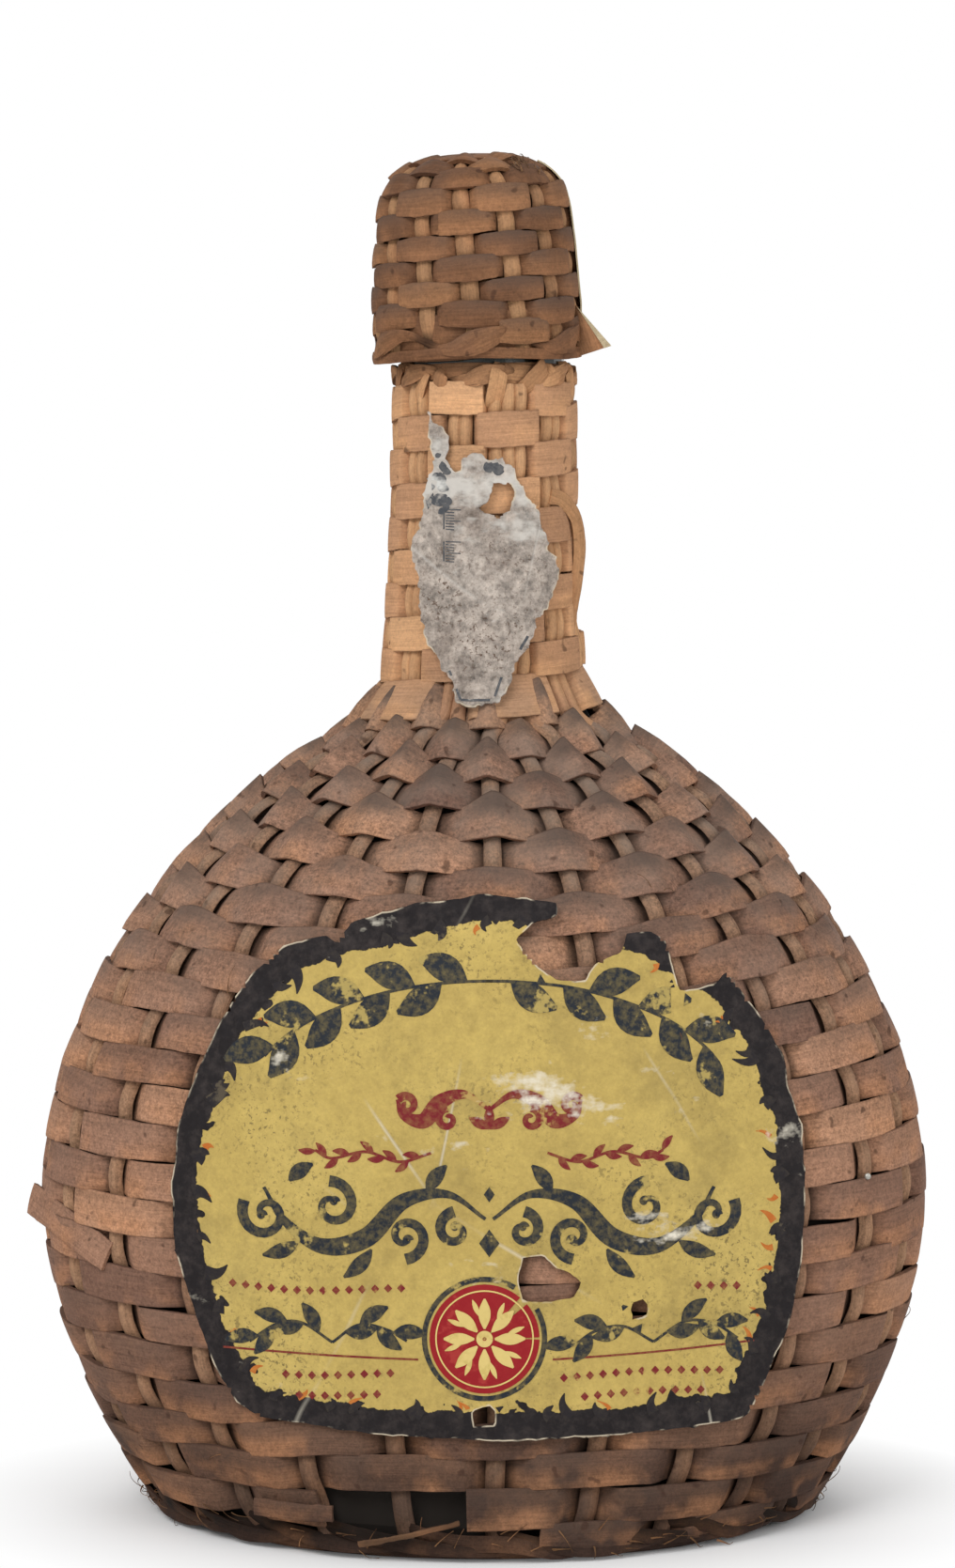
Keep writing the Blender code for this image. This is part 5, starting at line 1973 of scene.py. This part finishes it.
# Ornament
def leaf(start: Array, way: float, length: float, bend: float, width: float) -> tuple[Array, Array]:
    """A leaf's middle line and half widths.

    Args:
        start: Where it grows from.
        way: Its direction in radians.
        length: Its length.
        bend: How far it curves aside, as a share of its length.
        width: Half its greatest width.

    Returns:
        The line and the half widths.
    """
    share = np.linspace(0, 1, 9)
    ahead = np.array((math.cos(way), math.sin(way)))
    side = np.array((-ahead[1], ahead[0]))
    line = (start + ahead * (length * share)[:, None] + side * (bend * length * share ** 2)[:, None])
    return line, width * np.sin(math.pi * np.clip(share, 0.03, 0.97)) ** 0.8


def curl(centre: Array, radius: float, start: float, turns: float, hand: int) -> Array:
    """A spiral that winds in to its centre.

    Args:
        centre: The centre.
        radius: Its greatest radius.
        start: The angle that it starts at.
        turns: How many turns it makes.
        hand: 1 to wind to the left, -1 to the right.

    Returns:
        The line.
    """
    share = np.linspace(0, 1, 26)
    angle = start + hand * share * turns * math.tau
    reach = radius * (1 - 0.82 * share)
    return centre + np.stack((np.cos(angle) * reach, np.sin(angle) * reach), axis=1)


def lozenge(spot: Array, half_length: float, half_width: float, stations: int, taper: float) -> Stroke:
    """A level lozenge of ink that loses a share of its width at its ends."""
    step = np.linspace(-1, 1, stations)
    return (spot + np.stack((step * half_length, step * 0), axis=1),
            half_width * (1 - np.abs(step) * taper), 6)


def garland(spots: Array, leaf_length: float, width: float, spacing: float) -> list[Stroke]:
    """A leafy stem.

    Args:
        spots: The stem's line.
        leaf_length: Length of a leaf.
        width: Half a leaf's width.
        spacing: Distance between leaves.

    Returns:
        The strokes.
    """
    strokes: list[Stroke] = [(spots, 0.00022, 6)]
    distances = travelled(spots)
    for index, place in enumerate(np.arange(spacing, distances[-1], spacing)):
        spot = read_along(spots, distances, place)
        way = math.atan2(*(read_along(spots, distances, place + 0.0005) - spot)[::-1])
        hand = 1 if index % 2 else -1
        strokes.append((*leaf(spot, way + hand * 0.75, leaf_length, -0.28 * hand, width), 7))
    return strokes


@dataclass
class Label:
    """The front label, with generic ornament printed on it."""

    weave: WovenBody

    # Outlines and ornament as photograph pixels. Columns of what is mirrored count from the
    # middle of the label.
    left_side: Pixels = ((177, 1262), (185, 1205), (205, 1150), (230, 1095), (262, 1045), (300, 1010))
    top: Pixels = ((372, 985), (440, 966), (510, 955), (590, 958), (660, 976), (712, 1000), (765, 1036))
    torn_top: Pixels = ((345, 998), (356, 1006), (372, 985), (440, 966), (510, 955), (560, 958),
                        (594, 964), (592, 976), (566, 984), (548, 1000), (556, 1012), (572, 1030),
                        (592, 1042), (622, 1044), (634, 1026), (662, 1014), (668, 996), (692, 994),
                        (708, 1004), (716, 1030), (724, 1058), (745, 1056), (766, 1050),
                        (774, 1040))
    right_side_and_foot: Pixels = (
        (800, 1070), (835, 1130), (856, 1205), (862, 1290), (855, 1370), (835, 1440), (800, 1515),
        (790, 1520), (650, 1528), (510, 1530), (400, 1526), (272, 1513), (248, 1500), (226, 1462),
        (196, 1385), (180, 1320))
    holes: Sequence[Pixels] = (
        ((556, 1334), (578, 1331), (590, 1345), (606, 1350), (619, 1362), (610, 1378), (582, 1382),
         (556, 1380), (550, 1358)),
        ((674, 1384), (684, 1380), (690, 1388), (688, 1400), (676, 1402), (670, 1394)),
        ((502, 1498), (520, 1492), (527, 1500), (526, 1514), (504, 1515)))
    middle: int = 520
    arc_centre: Pixel = (520, 1190)
    arc_size: Pixel = (268, -148)
    large_scroll: Pixels = (
        (4, 1292), (44, 1266), (92, 1274), (132, 1314), (180, 1324), (222, 1296), (242, 1264))
    large_curls: Rows = ((240, 1292, 27, 0.5, 1.15, -1), (168, 1280, 26, 1.45, 1.1, 1),
                         (90, 1312, 24, -1.6, 1.1, -1), (36, 1304, 20, 1.5, 1.0, -1))
    scroll_leaves: Rows = (
        (126, 1326, -1.1, 0.006), (66, 1264, 1.9, 0.005), (204, 1320, -0.7, 0.006),
        (214, 1256, 2.2, 0.0045))
    sprays: Sequence[Pixels] = (
        ((352, 1428), (318, 1408), (290, 1412), (262, 1432)),
        ((352, 1428), (380, 1408), (410, 1412), (432, 1424)),
        ((696, 1428), (730, 1408), (762, 1412), (788, 1430)),
        ((696, 1428), (664, 1410), (634, 1414), (612, 1428)))
    lozenges: Shares = ((1318, 0.0022), (1266, 0.0012))
    small_scroll: Pixels = ((0, 1176), (26, 1160), (52, 1168), (70, 1188), (92, 1182), (98, 1166))
    small_curls: Rows = ((88, 1172, 11, 0.6, 1.1, 1), (44, 1186, 12, 1.5, 1.1, -1))
    sprig: Pixels = ((62, 1222), (96, 1232), (132, 1222), (168, 1230), (186, 1222))
    sprig_middle: Pixel = (520, 1196)
    rules: Sequence[Pixels] = (((234, 1440), (444, 1444)), ((588, 1444), (806, 1434)))
    bead_rows: Sequence[Rows] = (
        ((1370, 244, 430), (1462, 302, 424), (1484, 316, 404)),
        ((1370, 744, 790), (1462, 600, 780), (1484, 622, 760)))
    disc_centre: Pixel = (515, 1421)

    def __post_init__(self) -> None:
        """Lay out the sheet."""
        whole, torn = (self.left_side + top + self.right_side_and_foot
                       for top in (self.top, self.torn_top))
        self.sheet = TornPaper("front_label_sheet", "front_label", Home.LABEL, whole=whole,
                               torn=torn, holes=self.holes, scale=6830.0, cell=0.00075,
                               lift=0.00055, ragged=0.00035, crumple=0.00022, weave=self.weave,
                               seed=90)

    def build(self) -> None:
        """Make the label and its print."""
        self.sheet.build(Palette.label)
        self.sheet.print_on("label_dark_print", Palette.dark_ink, self.dark_lines())
        self.sheet.print_on("label_red_print", Palette.red_ink, self.red_lines())
        self.sheet.print_on("label_orange_print", Palette.orange_ink, self.band_edge(False))
        self.sheet.print_on("label_band_print", Palette.band_ink, self.band_edge(True))
        self.print_disc()

    def mirrored(self, side: int, pixels: Pixels) -> Pixels:
        """Pixels on one side of the middle, the right (1) or the left (-1)."""
        return [(self.middle + side * x, y) for x, y in pixels]

    def spot(self, x: float, y: float, side: int = 1) -> Array:
        """A place in metres at so many pixels beside the middle."""
        return self.sheet.metres((self.middle + side * x, y))

    def scroll(self, side: int, pixels: Pixels, count: int, least: float, swell: float) -> Stroke:
        """A line on one side of the middle that swells between its ends."""
        bulge = np.sin(math.pi * np.linspace(0, 1, count)) ** 2
        return self.sheet.curve(self.mirrored(side, pixels), count), least + swell * bulge, 6

    def curl_at(self, side: int, x: float, y: float, radius: float, start: float, turns: float,
                hand: int) -> Array:
        """A spiral on the right of the middle, or its mirror image on the left."""
        first = start if side > 0 else math.pi - start
        return curl(self.spot(x, y, side), radius / self.sheet.scale, first, turns, hand * side)

    def dark_lines(self) -> list[Stroke]:
        """The garland, the large scroll, the sprays and lozenges, in dark ink.

        Returns:
            The strokes.
        """
        strokes = []
        turn = np.linspace(-1, 1, 90)[:, None] * 1.12
        arc = self.arc_centre + self.arc_size * np.hstack((np.sin(turn), np.cos(turn)))
        for half in (arc[:46][::-1], arc[44:]):
            strokes += garland(self.sheet.metres(half), leaf_length=0.0078, width=0.0021,
                               spacing=0.0041)
        for side in (-1, 1):
            strokes.append(self.scroll(side, self.large_scroll, count=60, least=0.00028,
                                       swell=0.00125))
            for place in self.large_curls:
                spiral = self.curl_at(side, *place)
                strokes.append((spiral, np.linspace(0.00090, 0.0004, len(spiral)), 7))
                strokes.append((curl(spiral[-1], 0.0006, 0, 0.9, 1), 0.0004, 8))
            for x, y, way, length in self.scroll_leaves:
                facing = way if side > 0 else math.pi - way
                strokes.append((*leaf(self.spot(x, y, side), facing, length, 0.3 * side, 0.0012), 6))
        for spray in self.sprays:
            strokes += garland(self.sheet.curve(spray, 30), leaf_length=0.0050, width=0.0012,
                               spacing=0.0027)
        strokes += [lozenge(self.spot(0, y), half_length=size * 0.7, half_width=size, stations=9,
                            taper=0.97) for y, size in self.lozenges]
        return strokes

    def red_lines(self) -> list[Stroke]:
        """The small flourish, its sprigs, the rules and rows of lozenges, in dark red.

        Returns:
            The strokes.
        """
        strokes = []
        for side, rule, bead_rows in zip((-1, 1), self.rules, self.bead_rows):
            strokes.append(self.scroll(side, self.small_scroll, count=40, least=0.0003,
                                       swell=0.0010))
            for place in self.small_curls:
                spiral = self.curl_at(side, *place)
                strokes.append((spiral, np.linspace(0.0007, 0.0003, len(spiral)), 7))
            sprig = self.sheet.curve(self.mirrored(side, self.sprig), 40)
            strokes += garland(sprig, leaf_length=0.0026, width=0.00055, spacing=0.0019)
            strokes.append((self.sheet.straight(*rule, 40), 0.00016, 6))
            for row, first, last in bead_rows:
                strokes += [lozenge(self.sheet.metres((x, row + 3 * math.sin(x / 40))),
                                    half_length=0.00062, half_width=0.0007, stations=5,
                                    taper=0.95) for x in np.arange(first, last, 14)]
        centre = self.sheet.metres(self.sprig_middle)
        strokes += [(*leaf(centre, way, 0.0036, 0.0, 0.0008), 7) for way in (0.5, 1.57, 2.64)]
        return strokes

    def band_edge(self, dark: bool) -> list[Stroke]:
        """Tongues of the printed band, or the orange licks that run along them.

        Args:
            dark: Whether to give the tongues.

        Returns:
            The strokes.
        """
        strokes = []
        rng = np.random.default_rng(61)
        loop = self.sheet.whole_line
        distances = travelled(closed(loop))
        share = np.linspace(0, 1, 8)
        for place in np.arange(0.004, distances[-1], 0.0064):
            place += rng.uniform(-0.003, 0.003)
            spot = read_along(closed(loop), distances, place)
            way = unit(read_along(closed(loop), distances, place + 0.001) - spot)
            inward = unit(loop.mean(axis=0) - spot)
            lean = rng.uniform(-0.8, 0.8)
            reach = rng.uniform(0.0010, 0.0030) * rng.choice((1, 0.6, 0.4)) + 0.0012
            line = (spot + inward * 0.0034 + (inward + way * lean) * (share * reach)[:, None]
                    + way * (0.0008 * np.sin(share * 3) * rng.choice((-1, 1)))[:, None])
            licked = rng.uniform() < 0.55
            half = rng.uniform(0.0006, 0.0012) * (1 - share ** 1.6) + 0.00008
            if dark:
                strokes.append((line, half, 6))
            elif licked:
                aside = way * rng.choice((-1, 1)) * 0.0011 + inward * 0.0006
                strokes.append((line[2:] + aside, half[2:] * 0.55, 5))
        return strokes

    def ring(self, inner: float, outer: float) -> Stroke:
        """A ring round the centre of the disc, or a disc when its inner radius is small.

        Args:
            inner: Its inner radius.
            outer: Its outer radius.

        Returns:
            The stroke.
        """
        turn = np.linspace(0, math.tau, 73)
        circle = np.stack((np.cos(turn), np.sin(turn)), axis=1)
        return (self.sheet.metres(self.disc_centre) + circle * (inner + outer) / 2,
                (outer - inner) / 2, 8)

    def print_disc(self) -> None:
        """The round ornament at the label's foot: a ring, a red disc and a plain rosette."""
        fill = (-1.0, -0.6, -0.2, 0.2, 0.6, 1.0)
        for name, finish, inner, outer in (
                ("disc_dark_ring", Palette.dark_ink, 0.0090, 0.0098),
                ("disc_red_field", Palette.disc_ink, 0.0002, 0.0086)):
            hand_over(self.sheet.stroke(*self.ring(inner, outer), fill), name, finish, Home.LABEL)
        centre = self.sheet.metres(self.disc_centre)
        strokes = []
        for way in np.arange(8) * math.tau / 8:
            start = centre + 0.0016 * np.array((math.cos(way), math.sin(way)))
            strokes.append((*leaf(start, way, 0.0048, 0.0, 0.00095), 14))
            way += 0.39
            start = start + 0.0022 * np.array((math.cos(way), math.sin(way)))
            strokes.append((*leaf(start, way, 0.0028, 0.0, 0.0004), 14))
        for radius, half in ((0.0076, 0.00012), (0.0008, 0.0005)):
            strokes.append((*self.ring(radius - half, radius + half)[:2], 14))
        self.sheet.print_on("disc_rosette", Palette.cream_ink, strokes)


@dataclass(frozen=True)
class Seal:
    """The paper seal on the neck, with ticks, border lines and worn patches."""

    # Outlines, marks and patches as photograph pixels
    whole: Pixels = ((452, 436), (455, 520), (446, 560), (443, 605), (448, 650), (462, 692),
                     (476, 712), (486, 748), (531, 748), (541, 712), (562, 680), (574, 655),
                     (588, 630), (589, 585), (571, 535), (556, 508), (552, 470), (520, 462),
                     (480, 470), (466, 450))
    torn: Pixels = ((454, 434), (462, 444), (474, 452), (475, 470), (479, 490), (485, 500),
                    (492, 484), (506, 478), (520, 486), (536, 478), (532, 492), (544, 498),
                    (546, 508), (553, 510), (566, 530), (581, 570), (589, 600), (588, 632),
                    (575, 650), (568, 652), (564, 672), (548, 700), (541, 722), (531, 748),
                    (486, 748), (478, 716), (462, 692), (450, 655), (444, 612), (443, 570),
                    (450, 540), (450, 512), (457, 498), (458, 466))
    holes: Sequence[Pixels] = (((524, 512), (540, 508), (546, 520), (542, 540), (530, 548),
                                (516, 542), (508, 536), (520, 528)),)
    tick_column: int = 474
    tick_rows: tuple[int, ...] = (538, 572)
    border: Sequence[Pixels] = (
        ((478, 708), (490, 742)), ((490, 742), (524, 742)), ((526, 738), (533, 716)),
        ((552, 686), (560, 672)))
    patches: Rows = ((460, 530, 1.5), (466, 514, 1.2), (470, 500, 0.9), (463, 480, 0.6),
                     (520, 489, 1.0), (526, 498, 1.0), (475, 536, 0.8))

    def build(self) -> None:
        """Make the seal and its print."""
        sheet = TornPaper("neck_seal_sheet", "neck_seal", Home.SEAL, whole=self.whole,
                          torn=self.torn, holes=self.holes, scale=6590.0, cell=0.00024,
                          lift=0.00080, ragged=0.00125, crumple=0.00018, weave=None, seed=140)
        sheet.build(Palette.seal)
        strokes = []
        left = self.tick_column
        for base in self.tick_rows:
            for index in range(8):
                row = base + index * 3
                reach = 16 if index % 4 == 0 else 9
                line = sheet.straight((left, row), (left + reach, row + 0.5), 5)
                strokes.append((line, 0.00009, 5))
            line = sheet.straight((left - 2, base), (left - 2, base + 21), 8)
            strokes.append((line, 0.00012, 5))
        strokes += [(sheet.straight(*ends, 12), 0.0002, 5) for ends in self.border]
        rng = np.random.default_rng(5)
        for x, y, size in self.patches:
            for _ in range(3):
                spot = sheet.metres((x, y)) + rng.normal(0, 0.0003, 2)
                strokes.append((*leaf(spot, rng.uniform(0, 6.3), 0.0018 * size, 0.2, 0.0007 * size), 5))
        sheet.print_on("seal_print_marks", Palette.slate_ink, strokes)


# Details of wear
@dataclass(frozen=True)
class LooseStrip:
    """A strip that has sprung out of the weave.

    Its spots are pixels of the photograph, each with its distance in front of the axis.
    """

    name: str
    spots: Sequence[Point]
    half_width: float
    face: Point
    finish: Finish
    twist: float
    tone: float

    def build(self) -> None:
        """Make and dress the strip."""
        points = through(EYE.points(self.spots), 30)
        course = Course.along(points, np.broadcast_to(unit(np.array(self.face)), points.shape))
        strip = lay_strip(course.turned(np.linspace(0, self.twist, len(points))), self.half_width,
                          crown=0.0002, thickness=0.0007, tone=self.tone,
                          wear=np.linspace(0.5, 0.8, len(points)), roughness=0.0002,
                          seed=len(self.name))
        hand_over(strip, self.name, self.finish, Home.BASKET)


@dataclass(frozen=True)
class Damage:
    """Broken splint ends, loose fibres, most of them round the foot, and a nail head."""

    fibres: int = 130
    foot_fibres: int = 110
    strips: Sequence[LooseStrip] = (
        LooseStrip("broken_splint_left",
                   ((31, 1270, 0.004), (56, 1290, 0.013), (86, 1314, 0.022), (112, 1334, 0.026)),
                   half_width=0.0026, face=(-0.6, -1, 0.1), finish=Palette.body, twist=0.0,
                   tone=0.6),
        LooseStrip("sprung_neck_strip",
                   ((586, 523, 0.0108), (601, 530, 0.0085), (614, 552, 0.0062), (616, 590, 0.0052),
                    (609, 635, 0.0060), (601, 684, 0.0082)),
                   half_width=0.0012, face=(0.9, -1, 0), finish=Palette.neck_rim, twist=0.3,
                   tone=0.7),
        LooseStrip("splinter_foot",
                   ((380, 1646, 0.0470), (414, 1641, 0.0483), (452, 1633, 0.0488),
                    (489, 1624, 0.0480)),
                   half_width=0.00055, face=(0, -1, -0.3), finish=Palette.neck_rim, twist=0.4,
                   tone=0.9),
        LooseStrip("broken_splint_foot",
                   ((268, 1604, 0.0395), (310, 1610, 0.0435), (352, 1613, 0.0455)),
                   half_width=0.0014, face=(-0.25, -1, 0), finish=Palette.body, twist=0.1,
                   tone=0.3))
    nail_spot: Point = (926, 1256, 0.0335)
    nail_radius: float = 0.00055

    def build_strips(self) -> None:
        """Make the splint ends and the loop that stand out of the weave."""
        for strip in self.strips:
            strip.build()

    def build_fibres(self) -> None:
        """Scatter frayed fibres round the foot and over the weave."""
        rng = np.random.default_rng(77)
        parts = []
        share = np.linspace(0, 1, 7)
        for index in range(self.fibres):
            at_foot = index < self.foot_fibres
            angle = rng.uniform(0, math.tau)
            height = rng.uniform(0.001, 0.006) if at_foot else rng.uniform(0.01, 0.12)
            length = rng.uniform(0.0015, 0.0045)
            lean = rng.normal(0, 0.7) if at_foot else rng.uniform(-3, 3)
            turn = angle + length * share * math.cos(lean) / 0.05
            rise = np.maximum(height + length * share * math.sin(lean)
                              + 0.0008 * share * (1 - share), 0.0006)
            proud = 0.0002 + rng.uniform(0.0002, 0.0011) * np.sin(share * math.pi * 0.8)
            course = Course.along(SKIN.point(turn, rise, -proud), SKIN.axes(turn, rise)[1])
            parts.append(lay_fibre(course, rng.uniform(0.00006, 0.00018), rng.uniform(0, 1)))
        hand_over(parts, "loose_fibres", Palette.fibre, Home.BASKET)

    def build_nail(self) -> None:
        """Make the small pale nail head in the weave at the right."""
        across, _, height = EYE.points([self.nail_spot])[0]
        centre = SKIN.point(math.asin(across / SKIN.half_width(height)), height, -0.0003)
        bpy.ops.object.select_all(action="DESELECT")
        bpy.ops.mesh.primitive_uv_sphere_add(segments=20, ring_count=10, radius=self.nail_radius)
        nail = bpy.context.object
        places = places_of(nail) * (1, 0.7, 1) + centre
        nail.data.vertices.foreach_set("co", places.ravel())
        hand_over(nail, "nail_head", Palette.nail, Home.BASKET)


@dataclass(frozen=True)
class Stopper:
    """The cork in the mouth and the glass that it closes."""

    foot: float = 0.1721
    top: float = 0.2021
    foot_radius: float = 0.0091
    head_radius: float = 0.0099
    bevel: float = 0.0007

    def build(self) -> None:
        """Make the cork, and dress the glass and the base."""
        bpy.ops.object.select_all(action="DESELECT")
        bpy.ops.mesh.primitive_cone_add(vertices=72, radius1=self.foot_radius,
                                        radius2=self.head_radius, depth=self.top - self.foot,
                                        location=(0, 0, (self.foot + self.top) / 2))
        cork = bpy.context.object
        bpy.ops.object.transform_apply(location=True, rotation=True, scale=True)
        bevel = cork.modifiers.new("worn_rim", "BEVEL")
        bevel.width = self.bevel
        bevel.segments = 3
        bevel.angle_limit = math.radians(50)
        bpy.ops.object.modifier_apply(modifier=bevel.name)
        hand_over(cork, "cork_stopper", Palette.cork, Home.CORK, "cork", angle=40)
        for name, finish in (("glass_flask", Palette.glass), ("base_mat", Palette.base)):
            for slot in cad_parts[name].material_slots:
                slot.material = finish.material()


# Stage
@dataclass(frozen=True)
class Studio:
    """A pale floor, soft light and the photograph's camera."""

    tilt: float = math.radians(4.615)
    lens: float = 119.63
    sensor: float = 36.0
    look_height: float = 0.09
    soft_light: float = 0.42
    floor_radius: float = 6.0
    floor_fade: tuple[float, float] = (0.052, 0.092)
    # Name, place, length of a side and watts of each lamp
    lamps: Sequence[tuple[str, Point, float, float]] = (
        ("key", (-0.9, -1.5, 1.5), 1.1, 26), ("fill", (1.3, -1.2, 0.7), 1.2, 9),
        ("back", (0.2, 1.6, 1.2), 1.2, 9))

    def build(self) -> None:
        """Set up the floor, the world, the lamps and the camera."""
        self.floor()
        self.world()
        for name, place, size, power in self.lamps:
            self.lamp(name, place, size, power)
        camera = bpy.data.objects.new("camera", bpy.data.cameras.new("camera"))
        bpy.context.scene.collection.objects.link(camera)
        camera.location = (EYE.aside, -EYE.distance, EYE.height)
        camera.rotation_euler = (math.pi / 2 - self.tilt, 0, 0)
        camera.data.lens = self.lens
        camera.data.sensor_width = self.sensor
        camera.data.clip_start = 0.01
        bpy.context.scene.camera = camera
        bpy.context.scene.view_settings.view_transform = "Standard"

    def floor(self) -> None:
        """Make a wide white floor that fades into the backdrop away from the flask."""
        bpy.ops.object.select_all(action="DESELECT")
        bpy.ops.mesh.primitive_circle_add(vertices=96, radius=self.floor_radius,
                                          fill_type="NGON", location=(0, 0, 0))
        floor = bpy.context.object
        floor.name = floor.data.name = "floor"
        material = bpy.data.materials.new("floor_white")
        make = Recipe(material)
        near = make.scaled(make.place, 1.0, 1.25, 1.0)
        far = make.add("VectorMath", {0: near}, operation="LENGTH").outputs["Value"]
        diffuse = make.add("BsdfDiffuse", {"Color": (0.97, 0.97, 0.97, 1)}).outputs[0]
        white = make.add("Emission", {"Color": (1, 1, 1, 1), "Strength": 1.0}).outputs[0]
        share = make.times(make.seen(), make.step(far, *self.floor_fade))
        mixed = make.add("MixShader", {0: share, 1: diffuse, 2: white}).outputs[0]
        make.add("OutputMaterial", {"Surface": mixed})
        floor.data.materials.append(material)

    def world(self) -> None:
        """Light the scene softly all round, and show white behind it."""
        world = bpy.data.worlds.new("studio")
        bpy.context.scene.world = world
        make = Recipe(world)
        soft, white = (make.add("Background", {"Color": (1, 1, 1, 1), "Strength": strength})
                       for strength in (self.soft_light, 1.0))
        mixed = make.add("MixShader", {0: make.seen(), 1: soft.outputs[0], 2: white.outputs[0]})
        make.add("OutputWorld", {"Surface": mixed.outputs[0]})

    def lamp(self, name: str, place: Point, size: float, power: float) -> None:
        """Hang a square soft lamp that looks at the flask.

        Args:
            name: Its name.
            place: Where it hangs.
            size: Length of its sides.
            power: Its power in watts.
        """
        light = bpy.data.lights.new(name, "AREA")
        light.size = size
        light.energy = power
        lamp = bpy.data.objects.new(name, light)
        bpy.context.scene.collection.objects.link(lamp)
        lamp.location = place
        x, y, z = -np.array(place) + (0, 0, self.look_height)
        lamp.rotation_euler = (math.atan2(math.hypot(x, y), -z), 0, math.atan2(y, x) - math.pi / 2)


def main() -> None:
    """Build every sub-assembly in order."""
    body = WovenBody()
    body.build_splints()
    neck = Neck(body)
    neck.build_stakes()
    neck.build_splints()
    FoldedBorder(body.stakes, body.first_stake).build()
    neck.build_border()
    cap = Cap()
    cap.build_splints()
    cap.build_frame()
    cap.build_top()
    cap.build_border()
    cap.build_tab()
    cap.build_fray()
    Label(body).build()
    Seal().build()
    damage = Damage()
    damage.build_strips()
    damage.build_fibres()
    damage.build_nail()
    Stopper().build()
    Studio().build()


if __name__ == "__main__":
    logging.basicConfig(level=logging.INFO, format="%(name)s %(message)s")
    main()
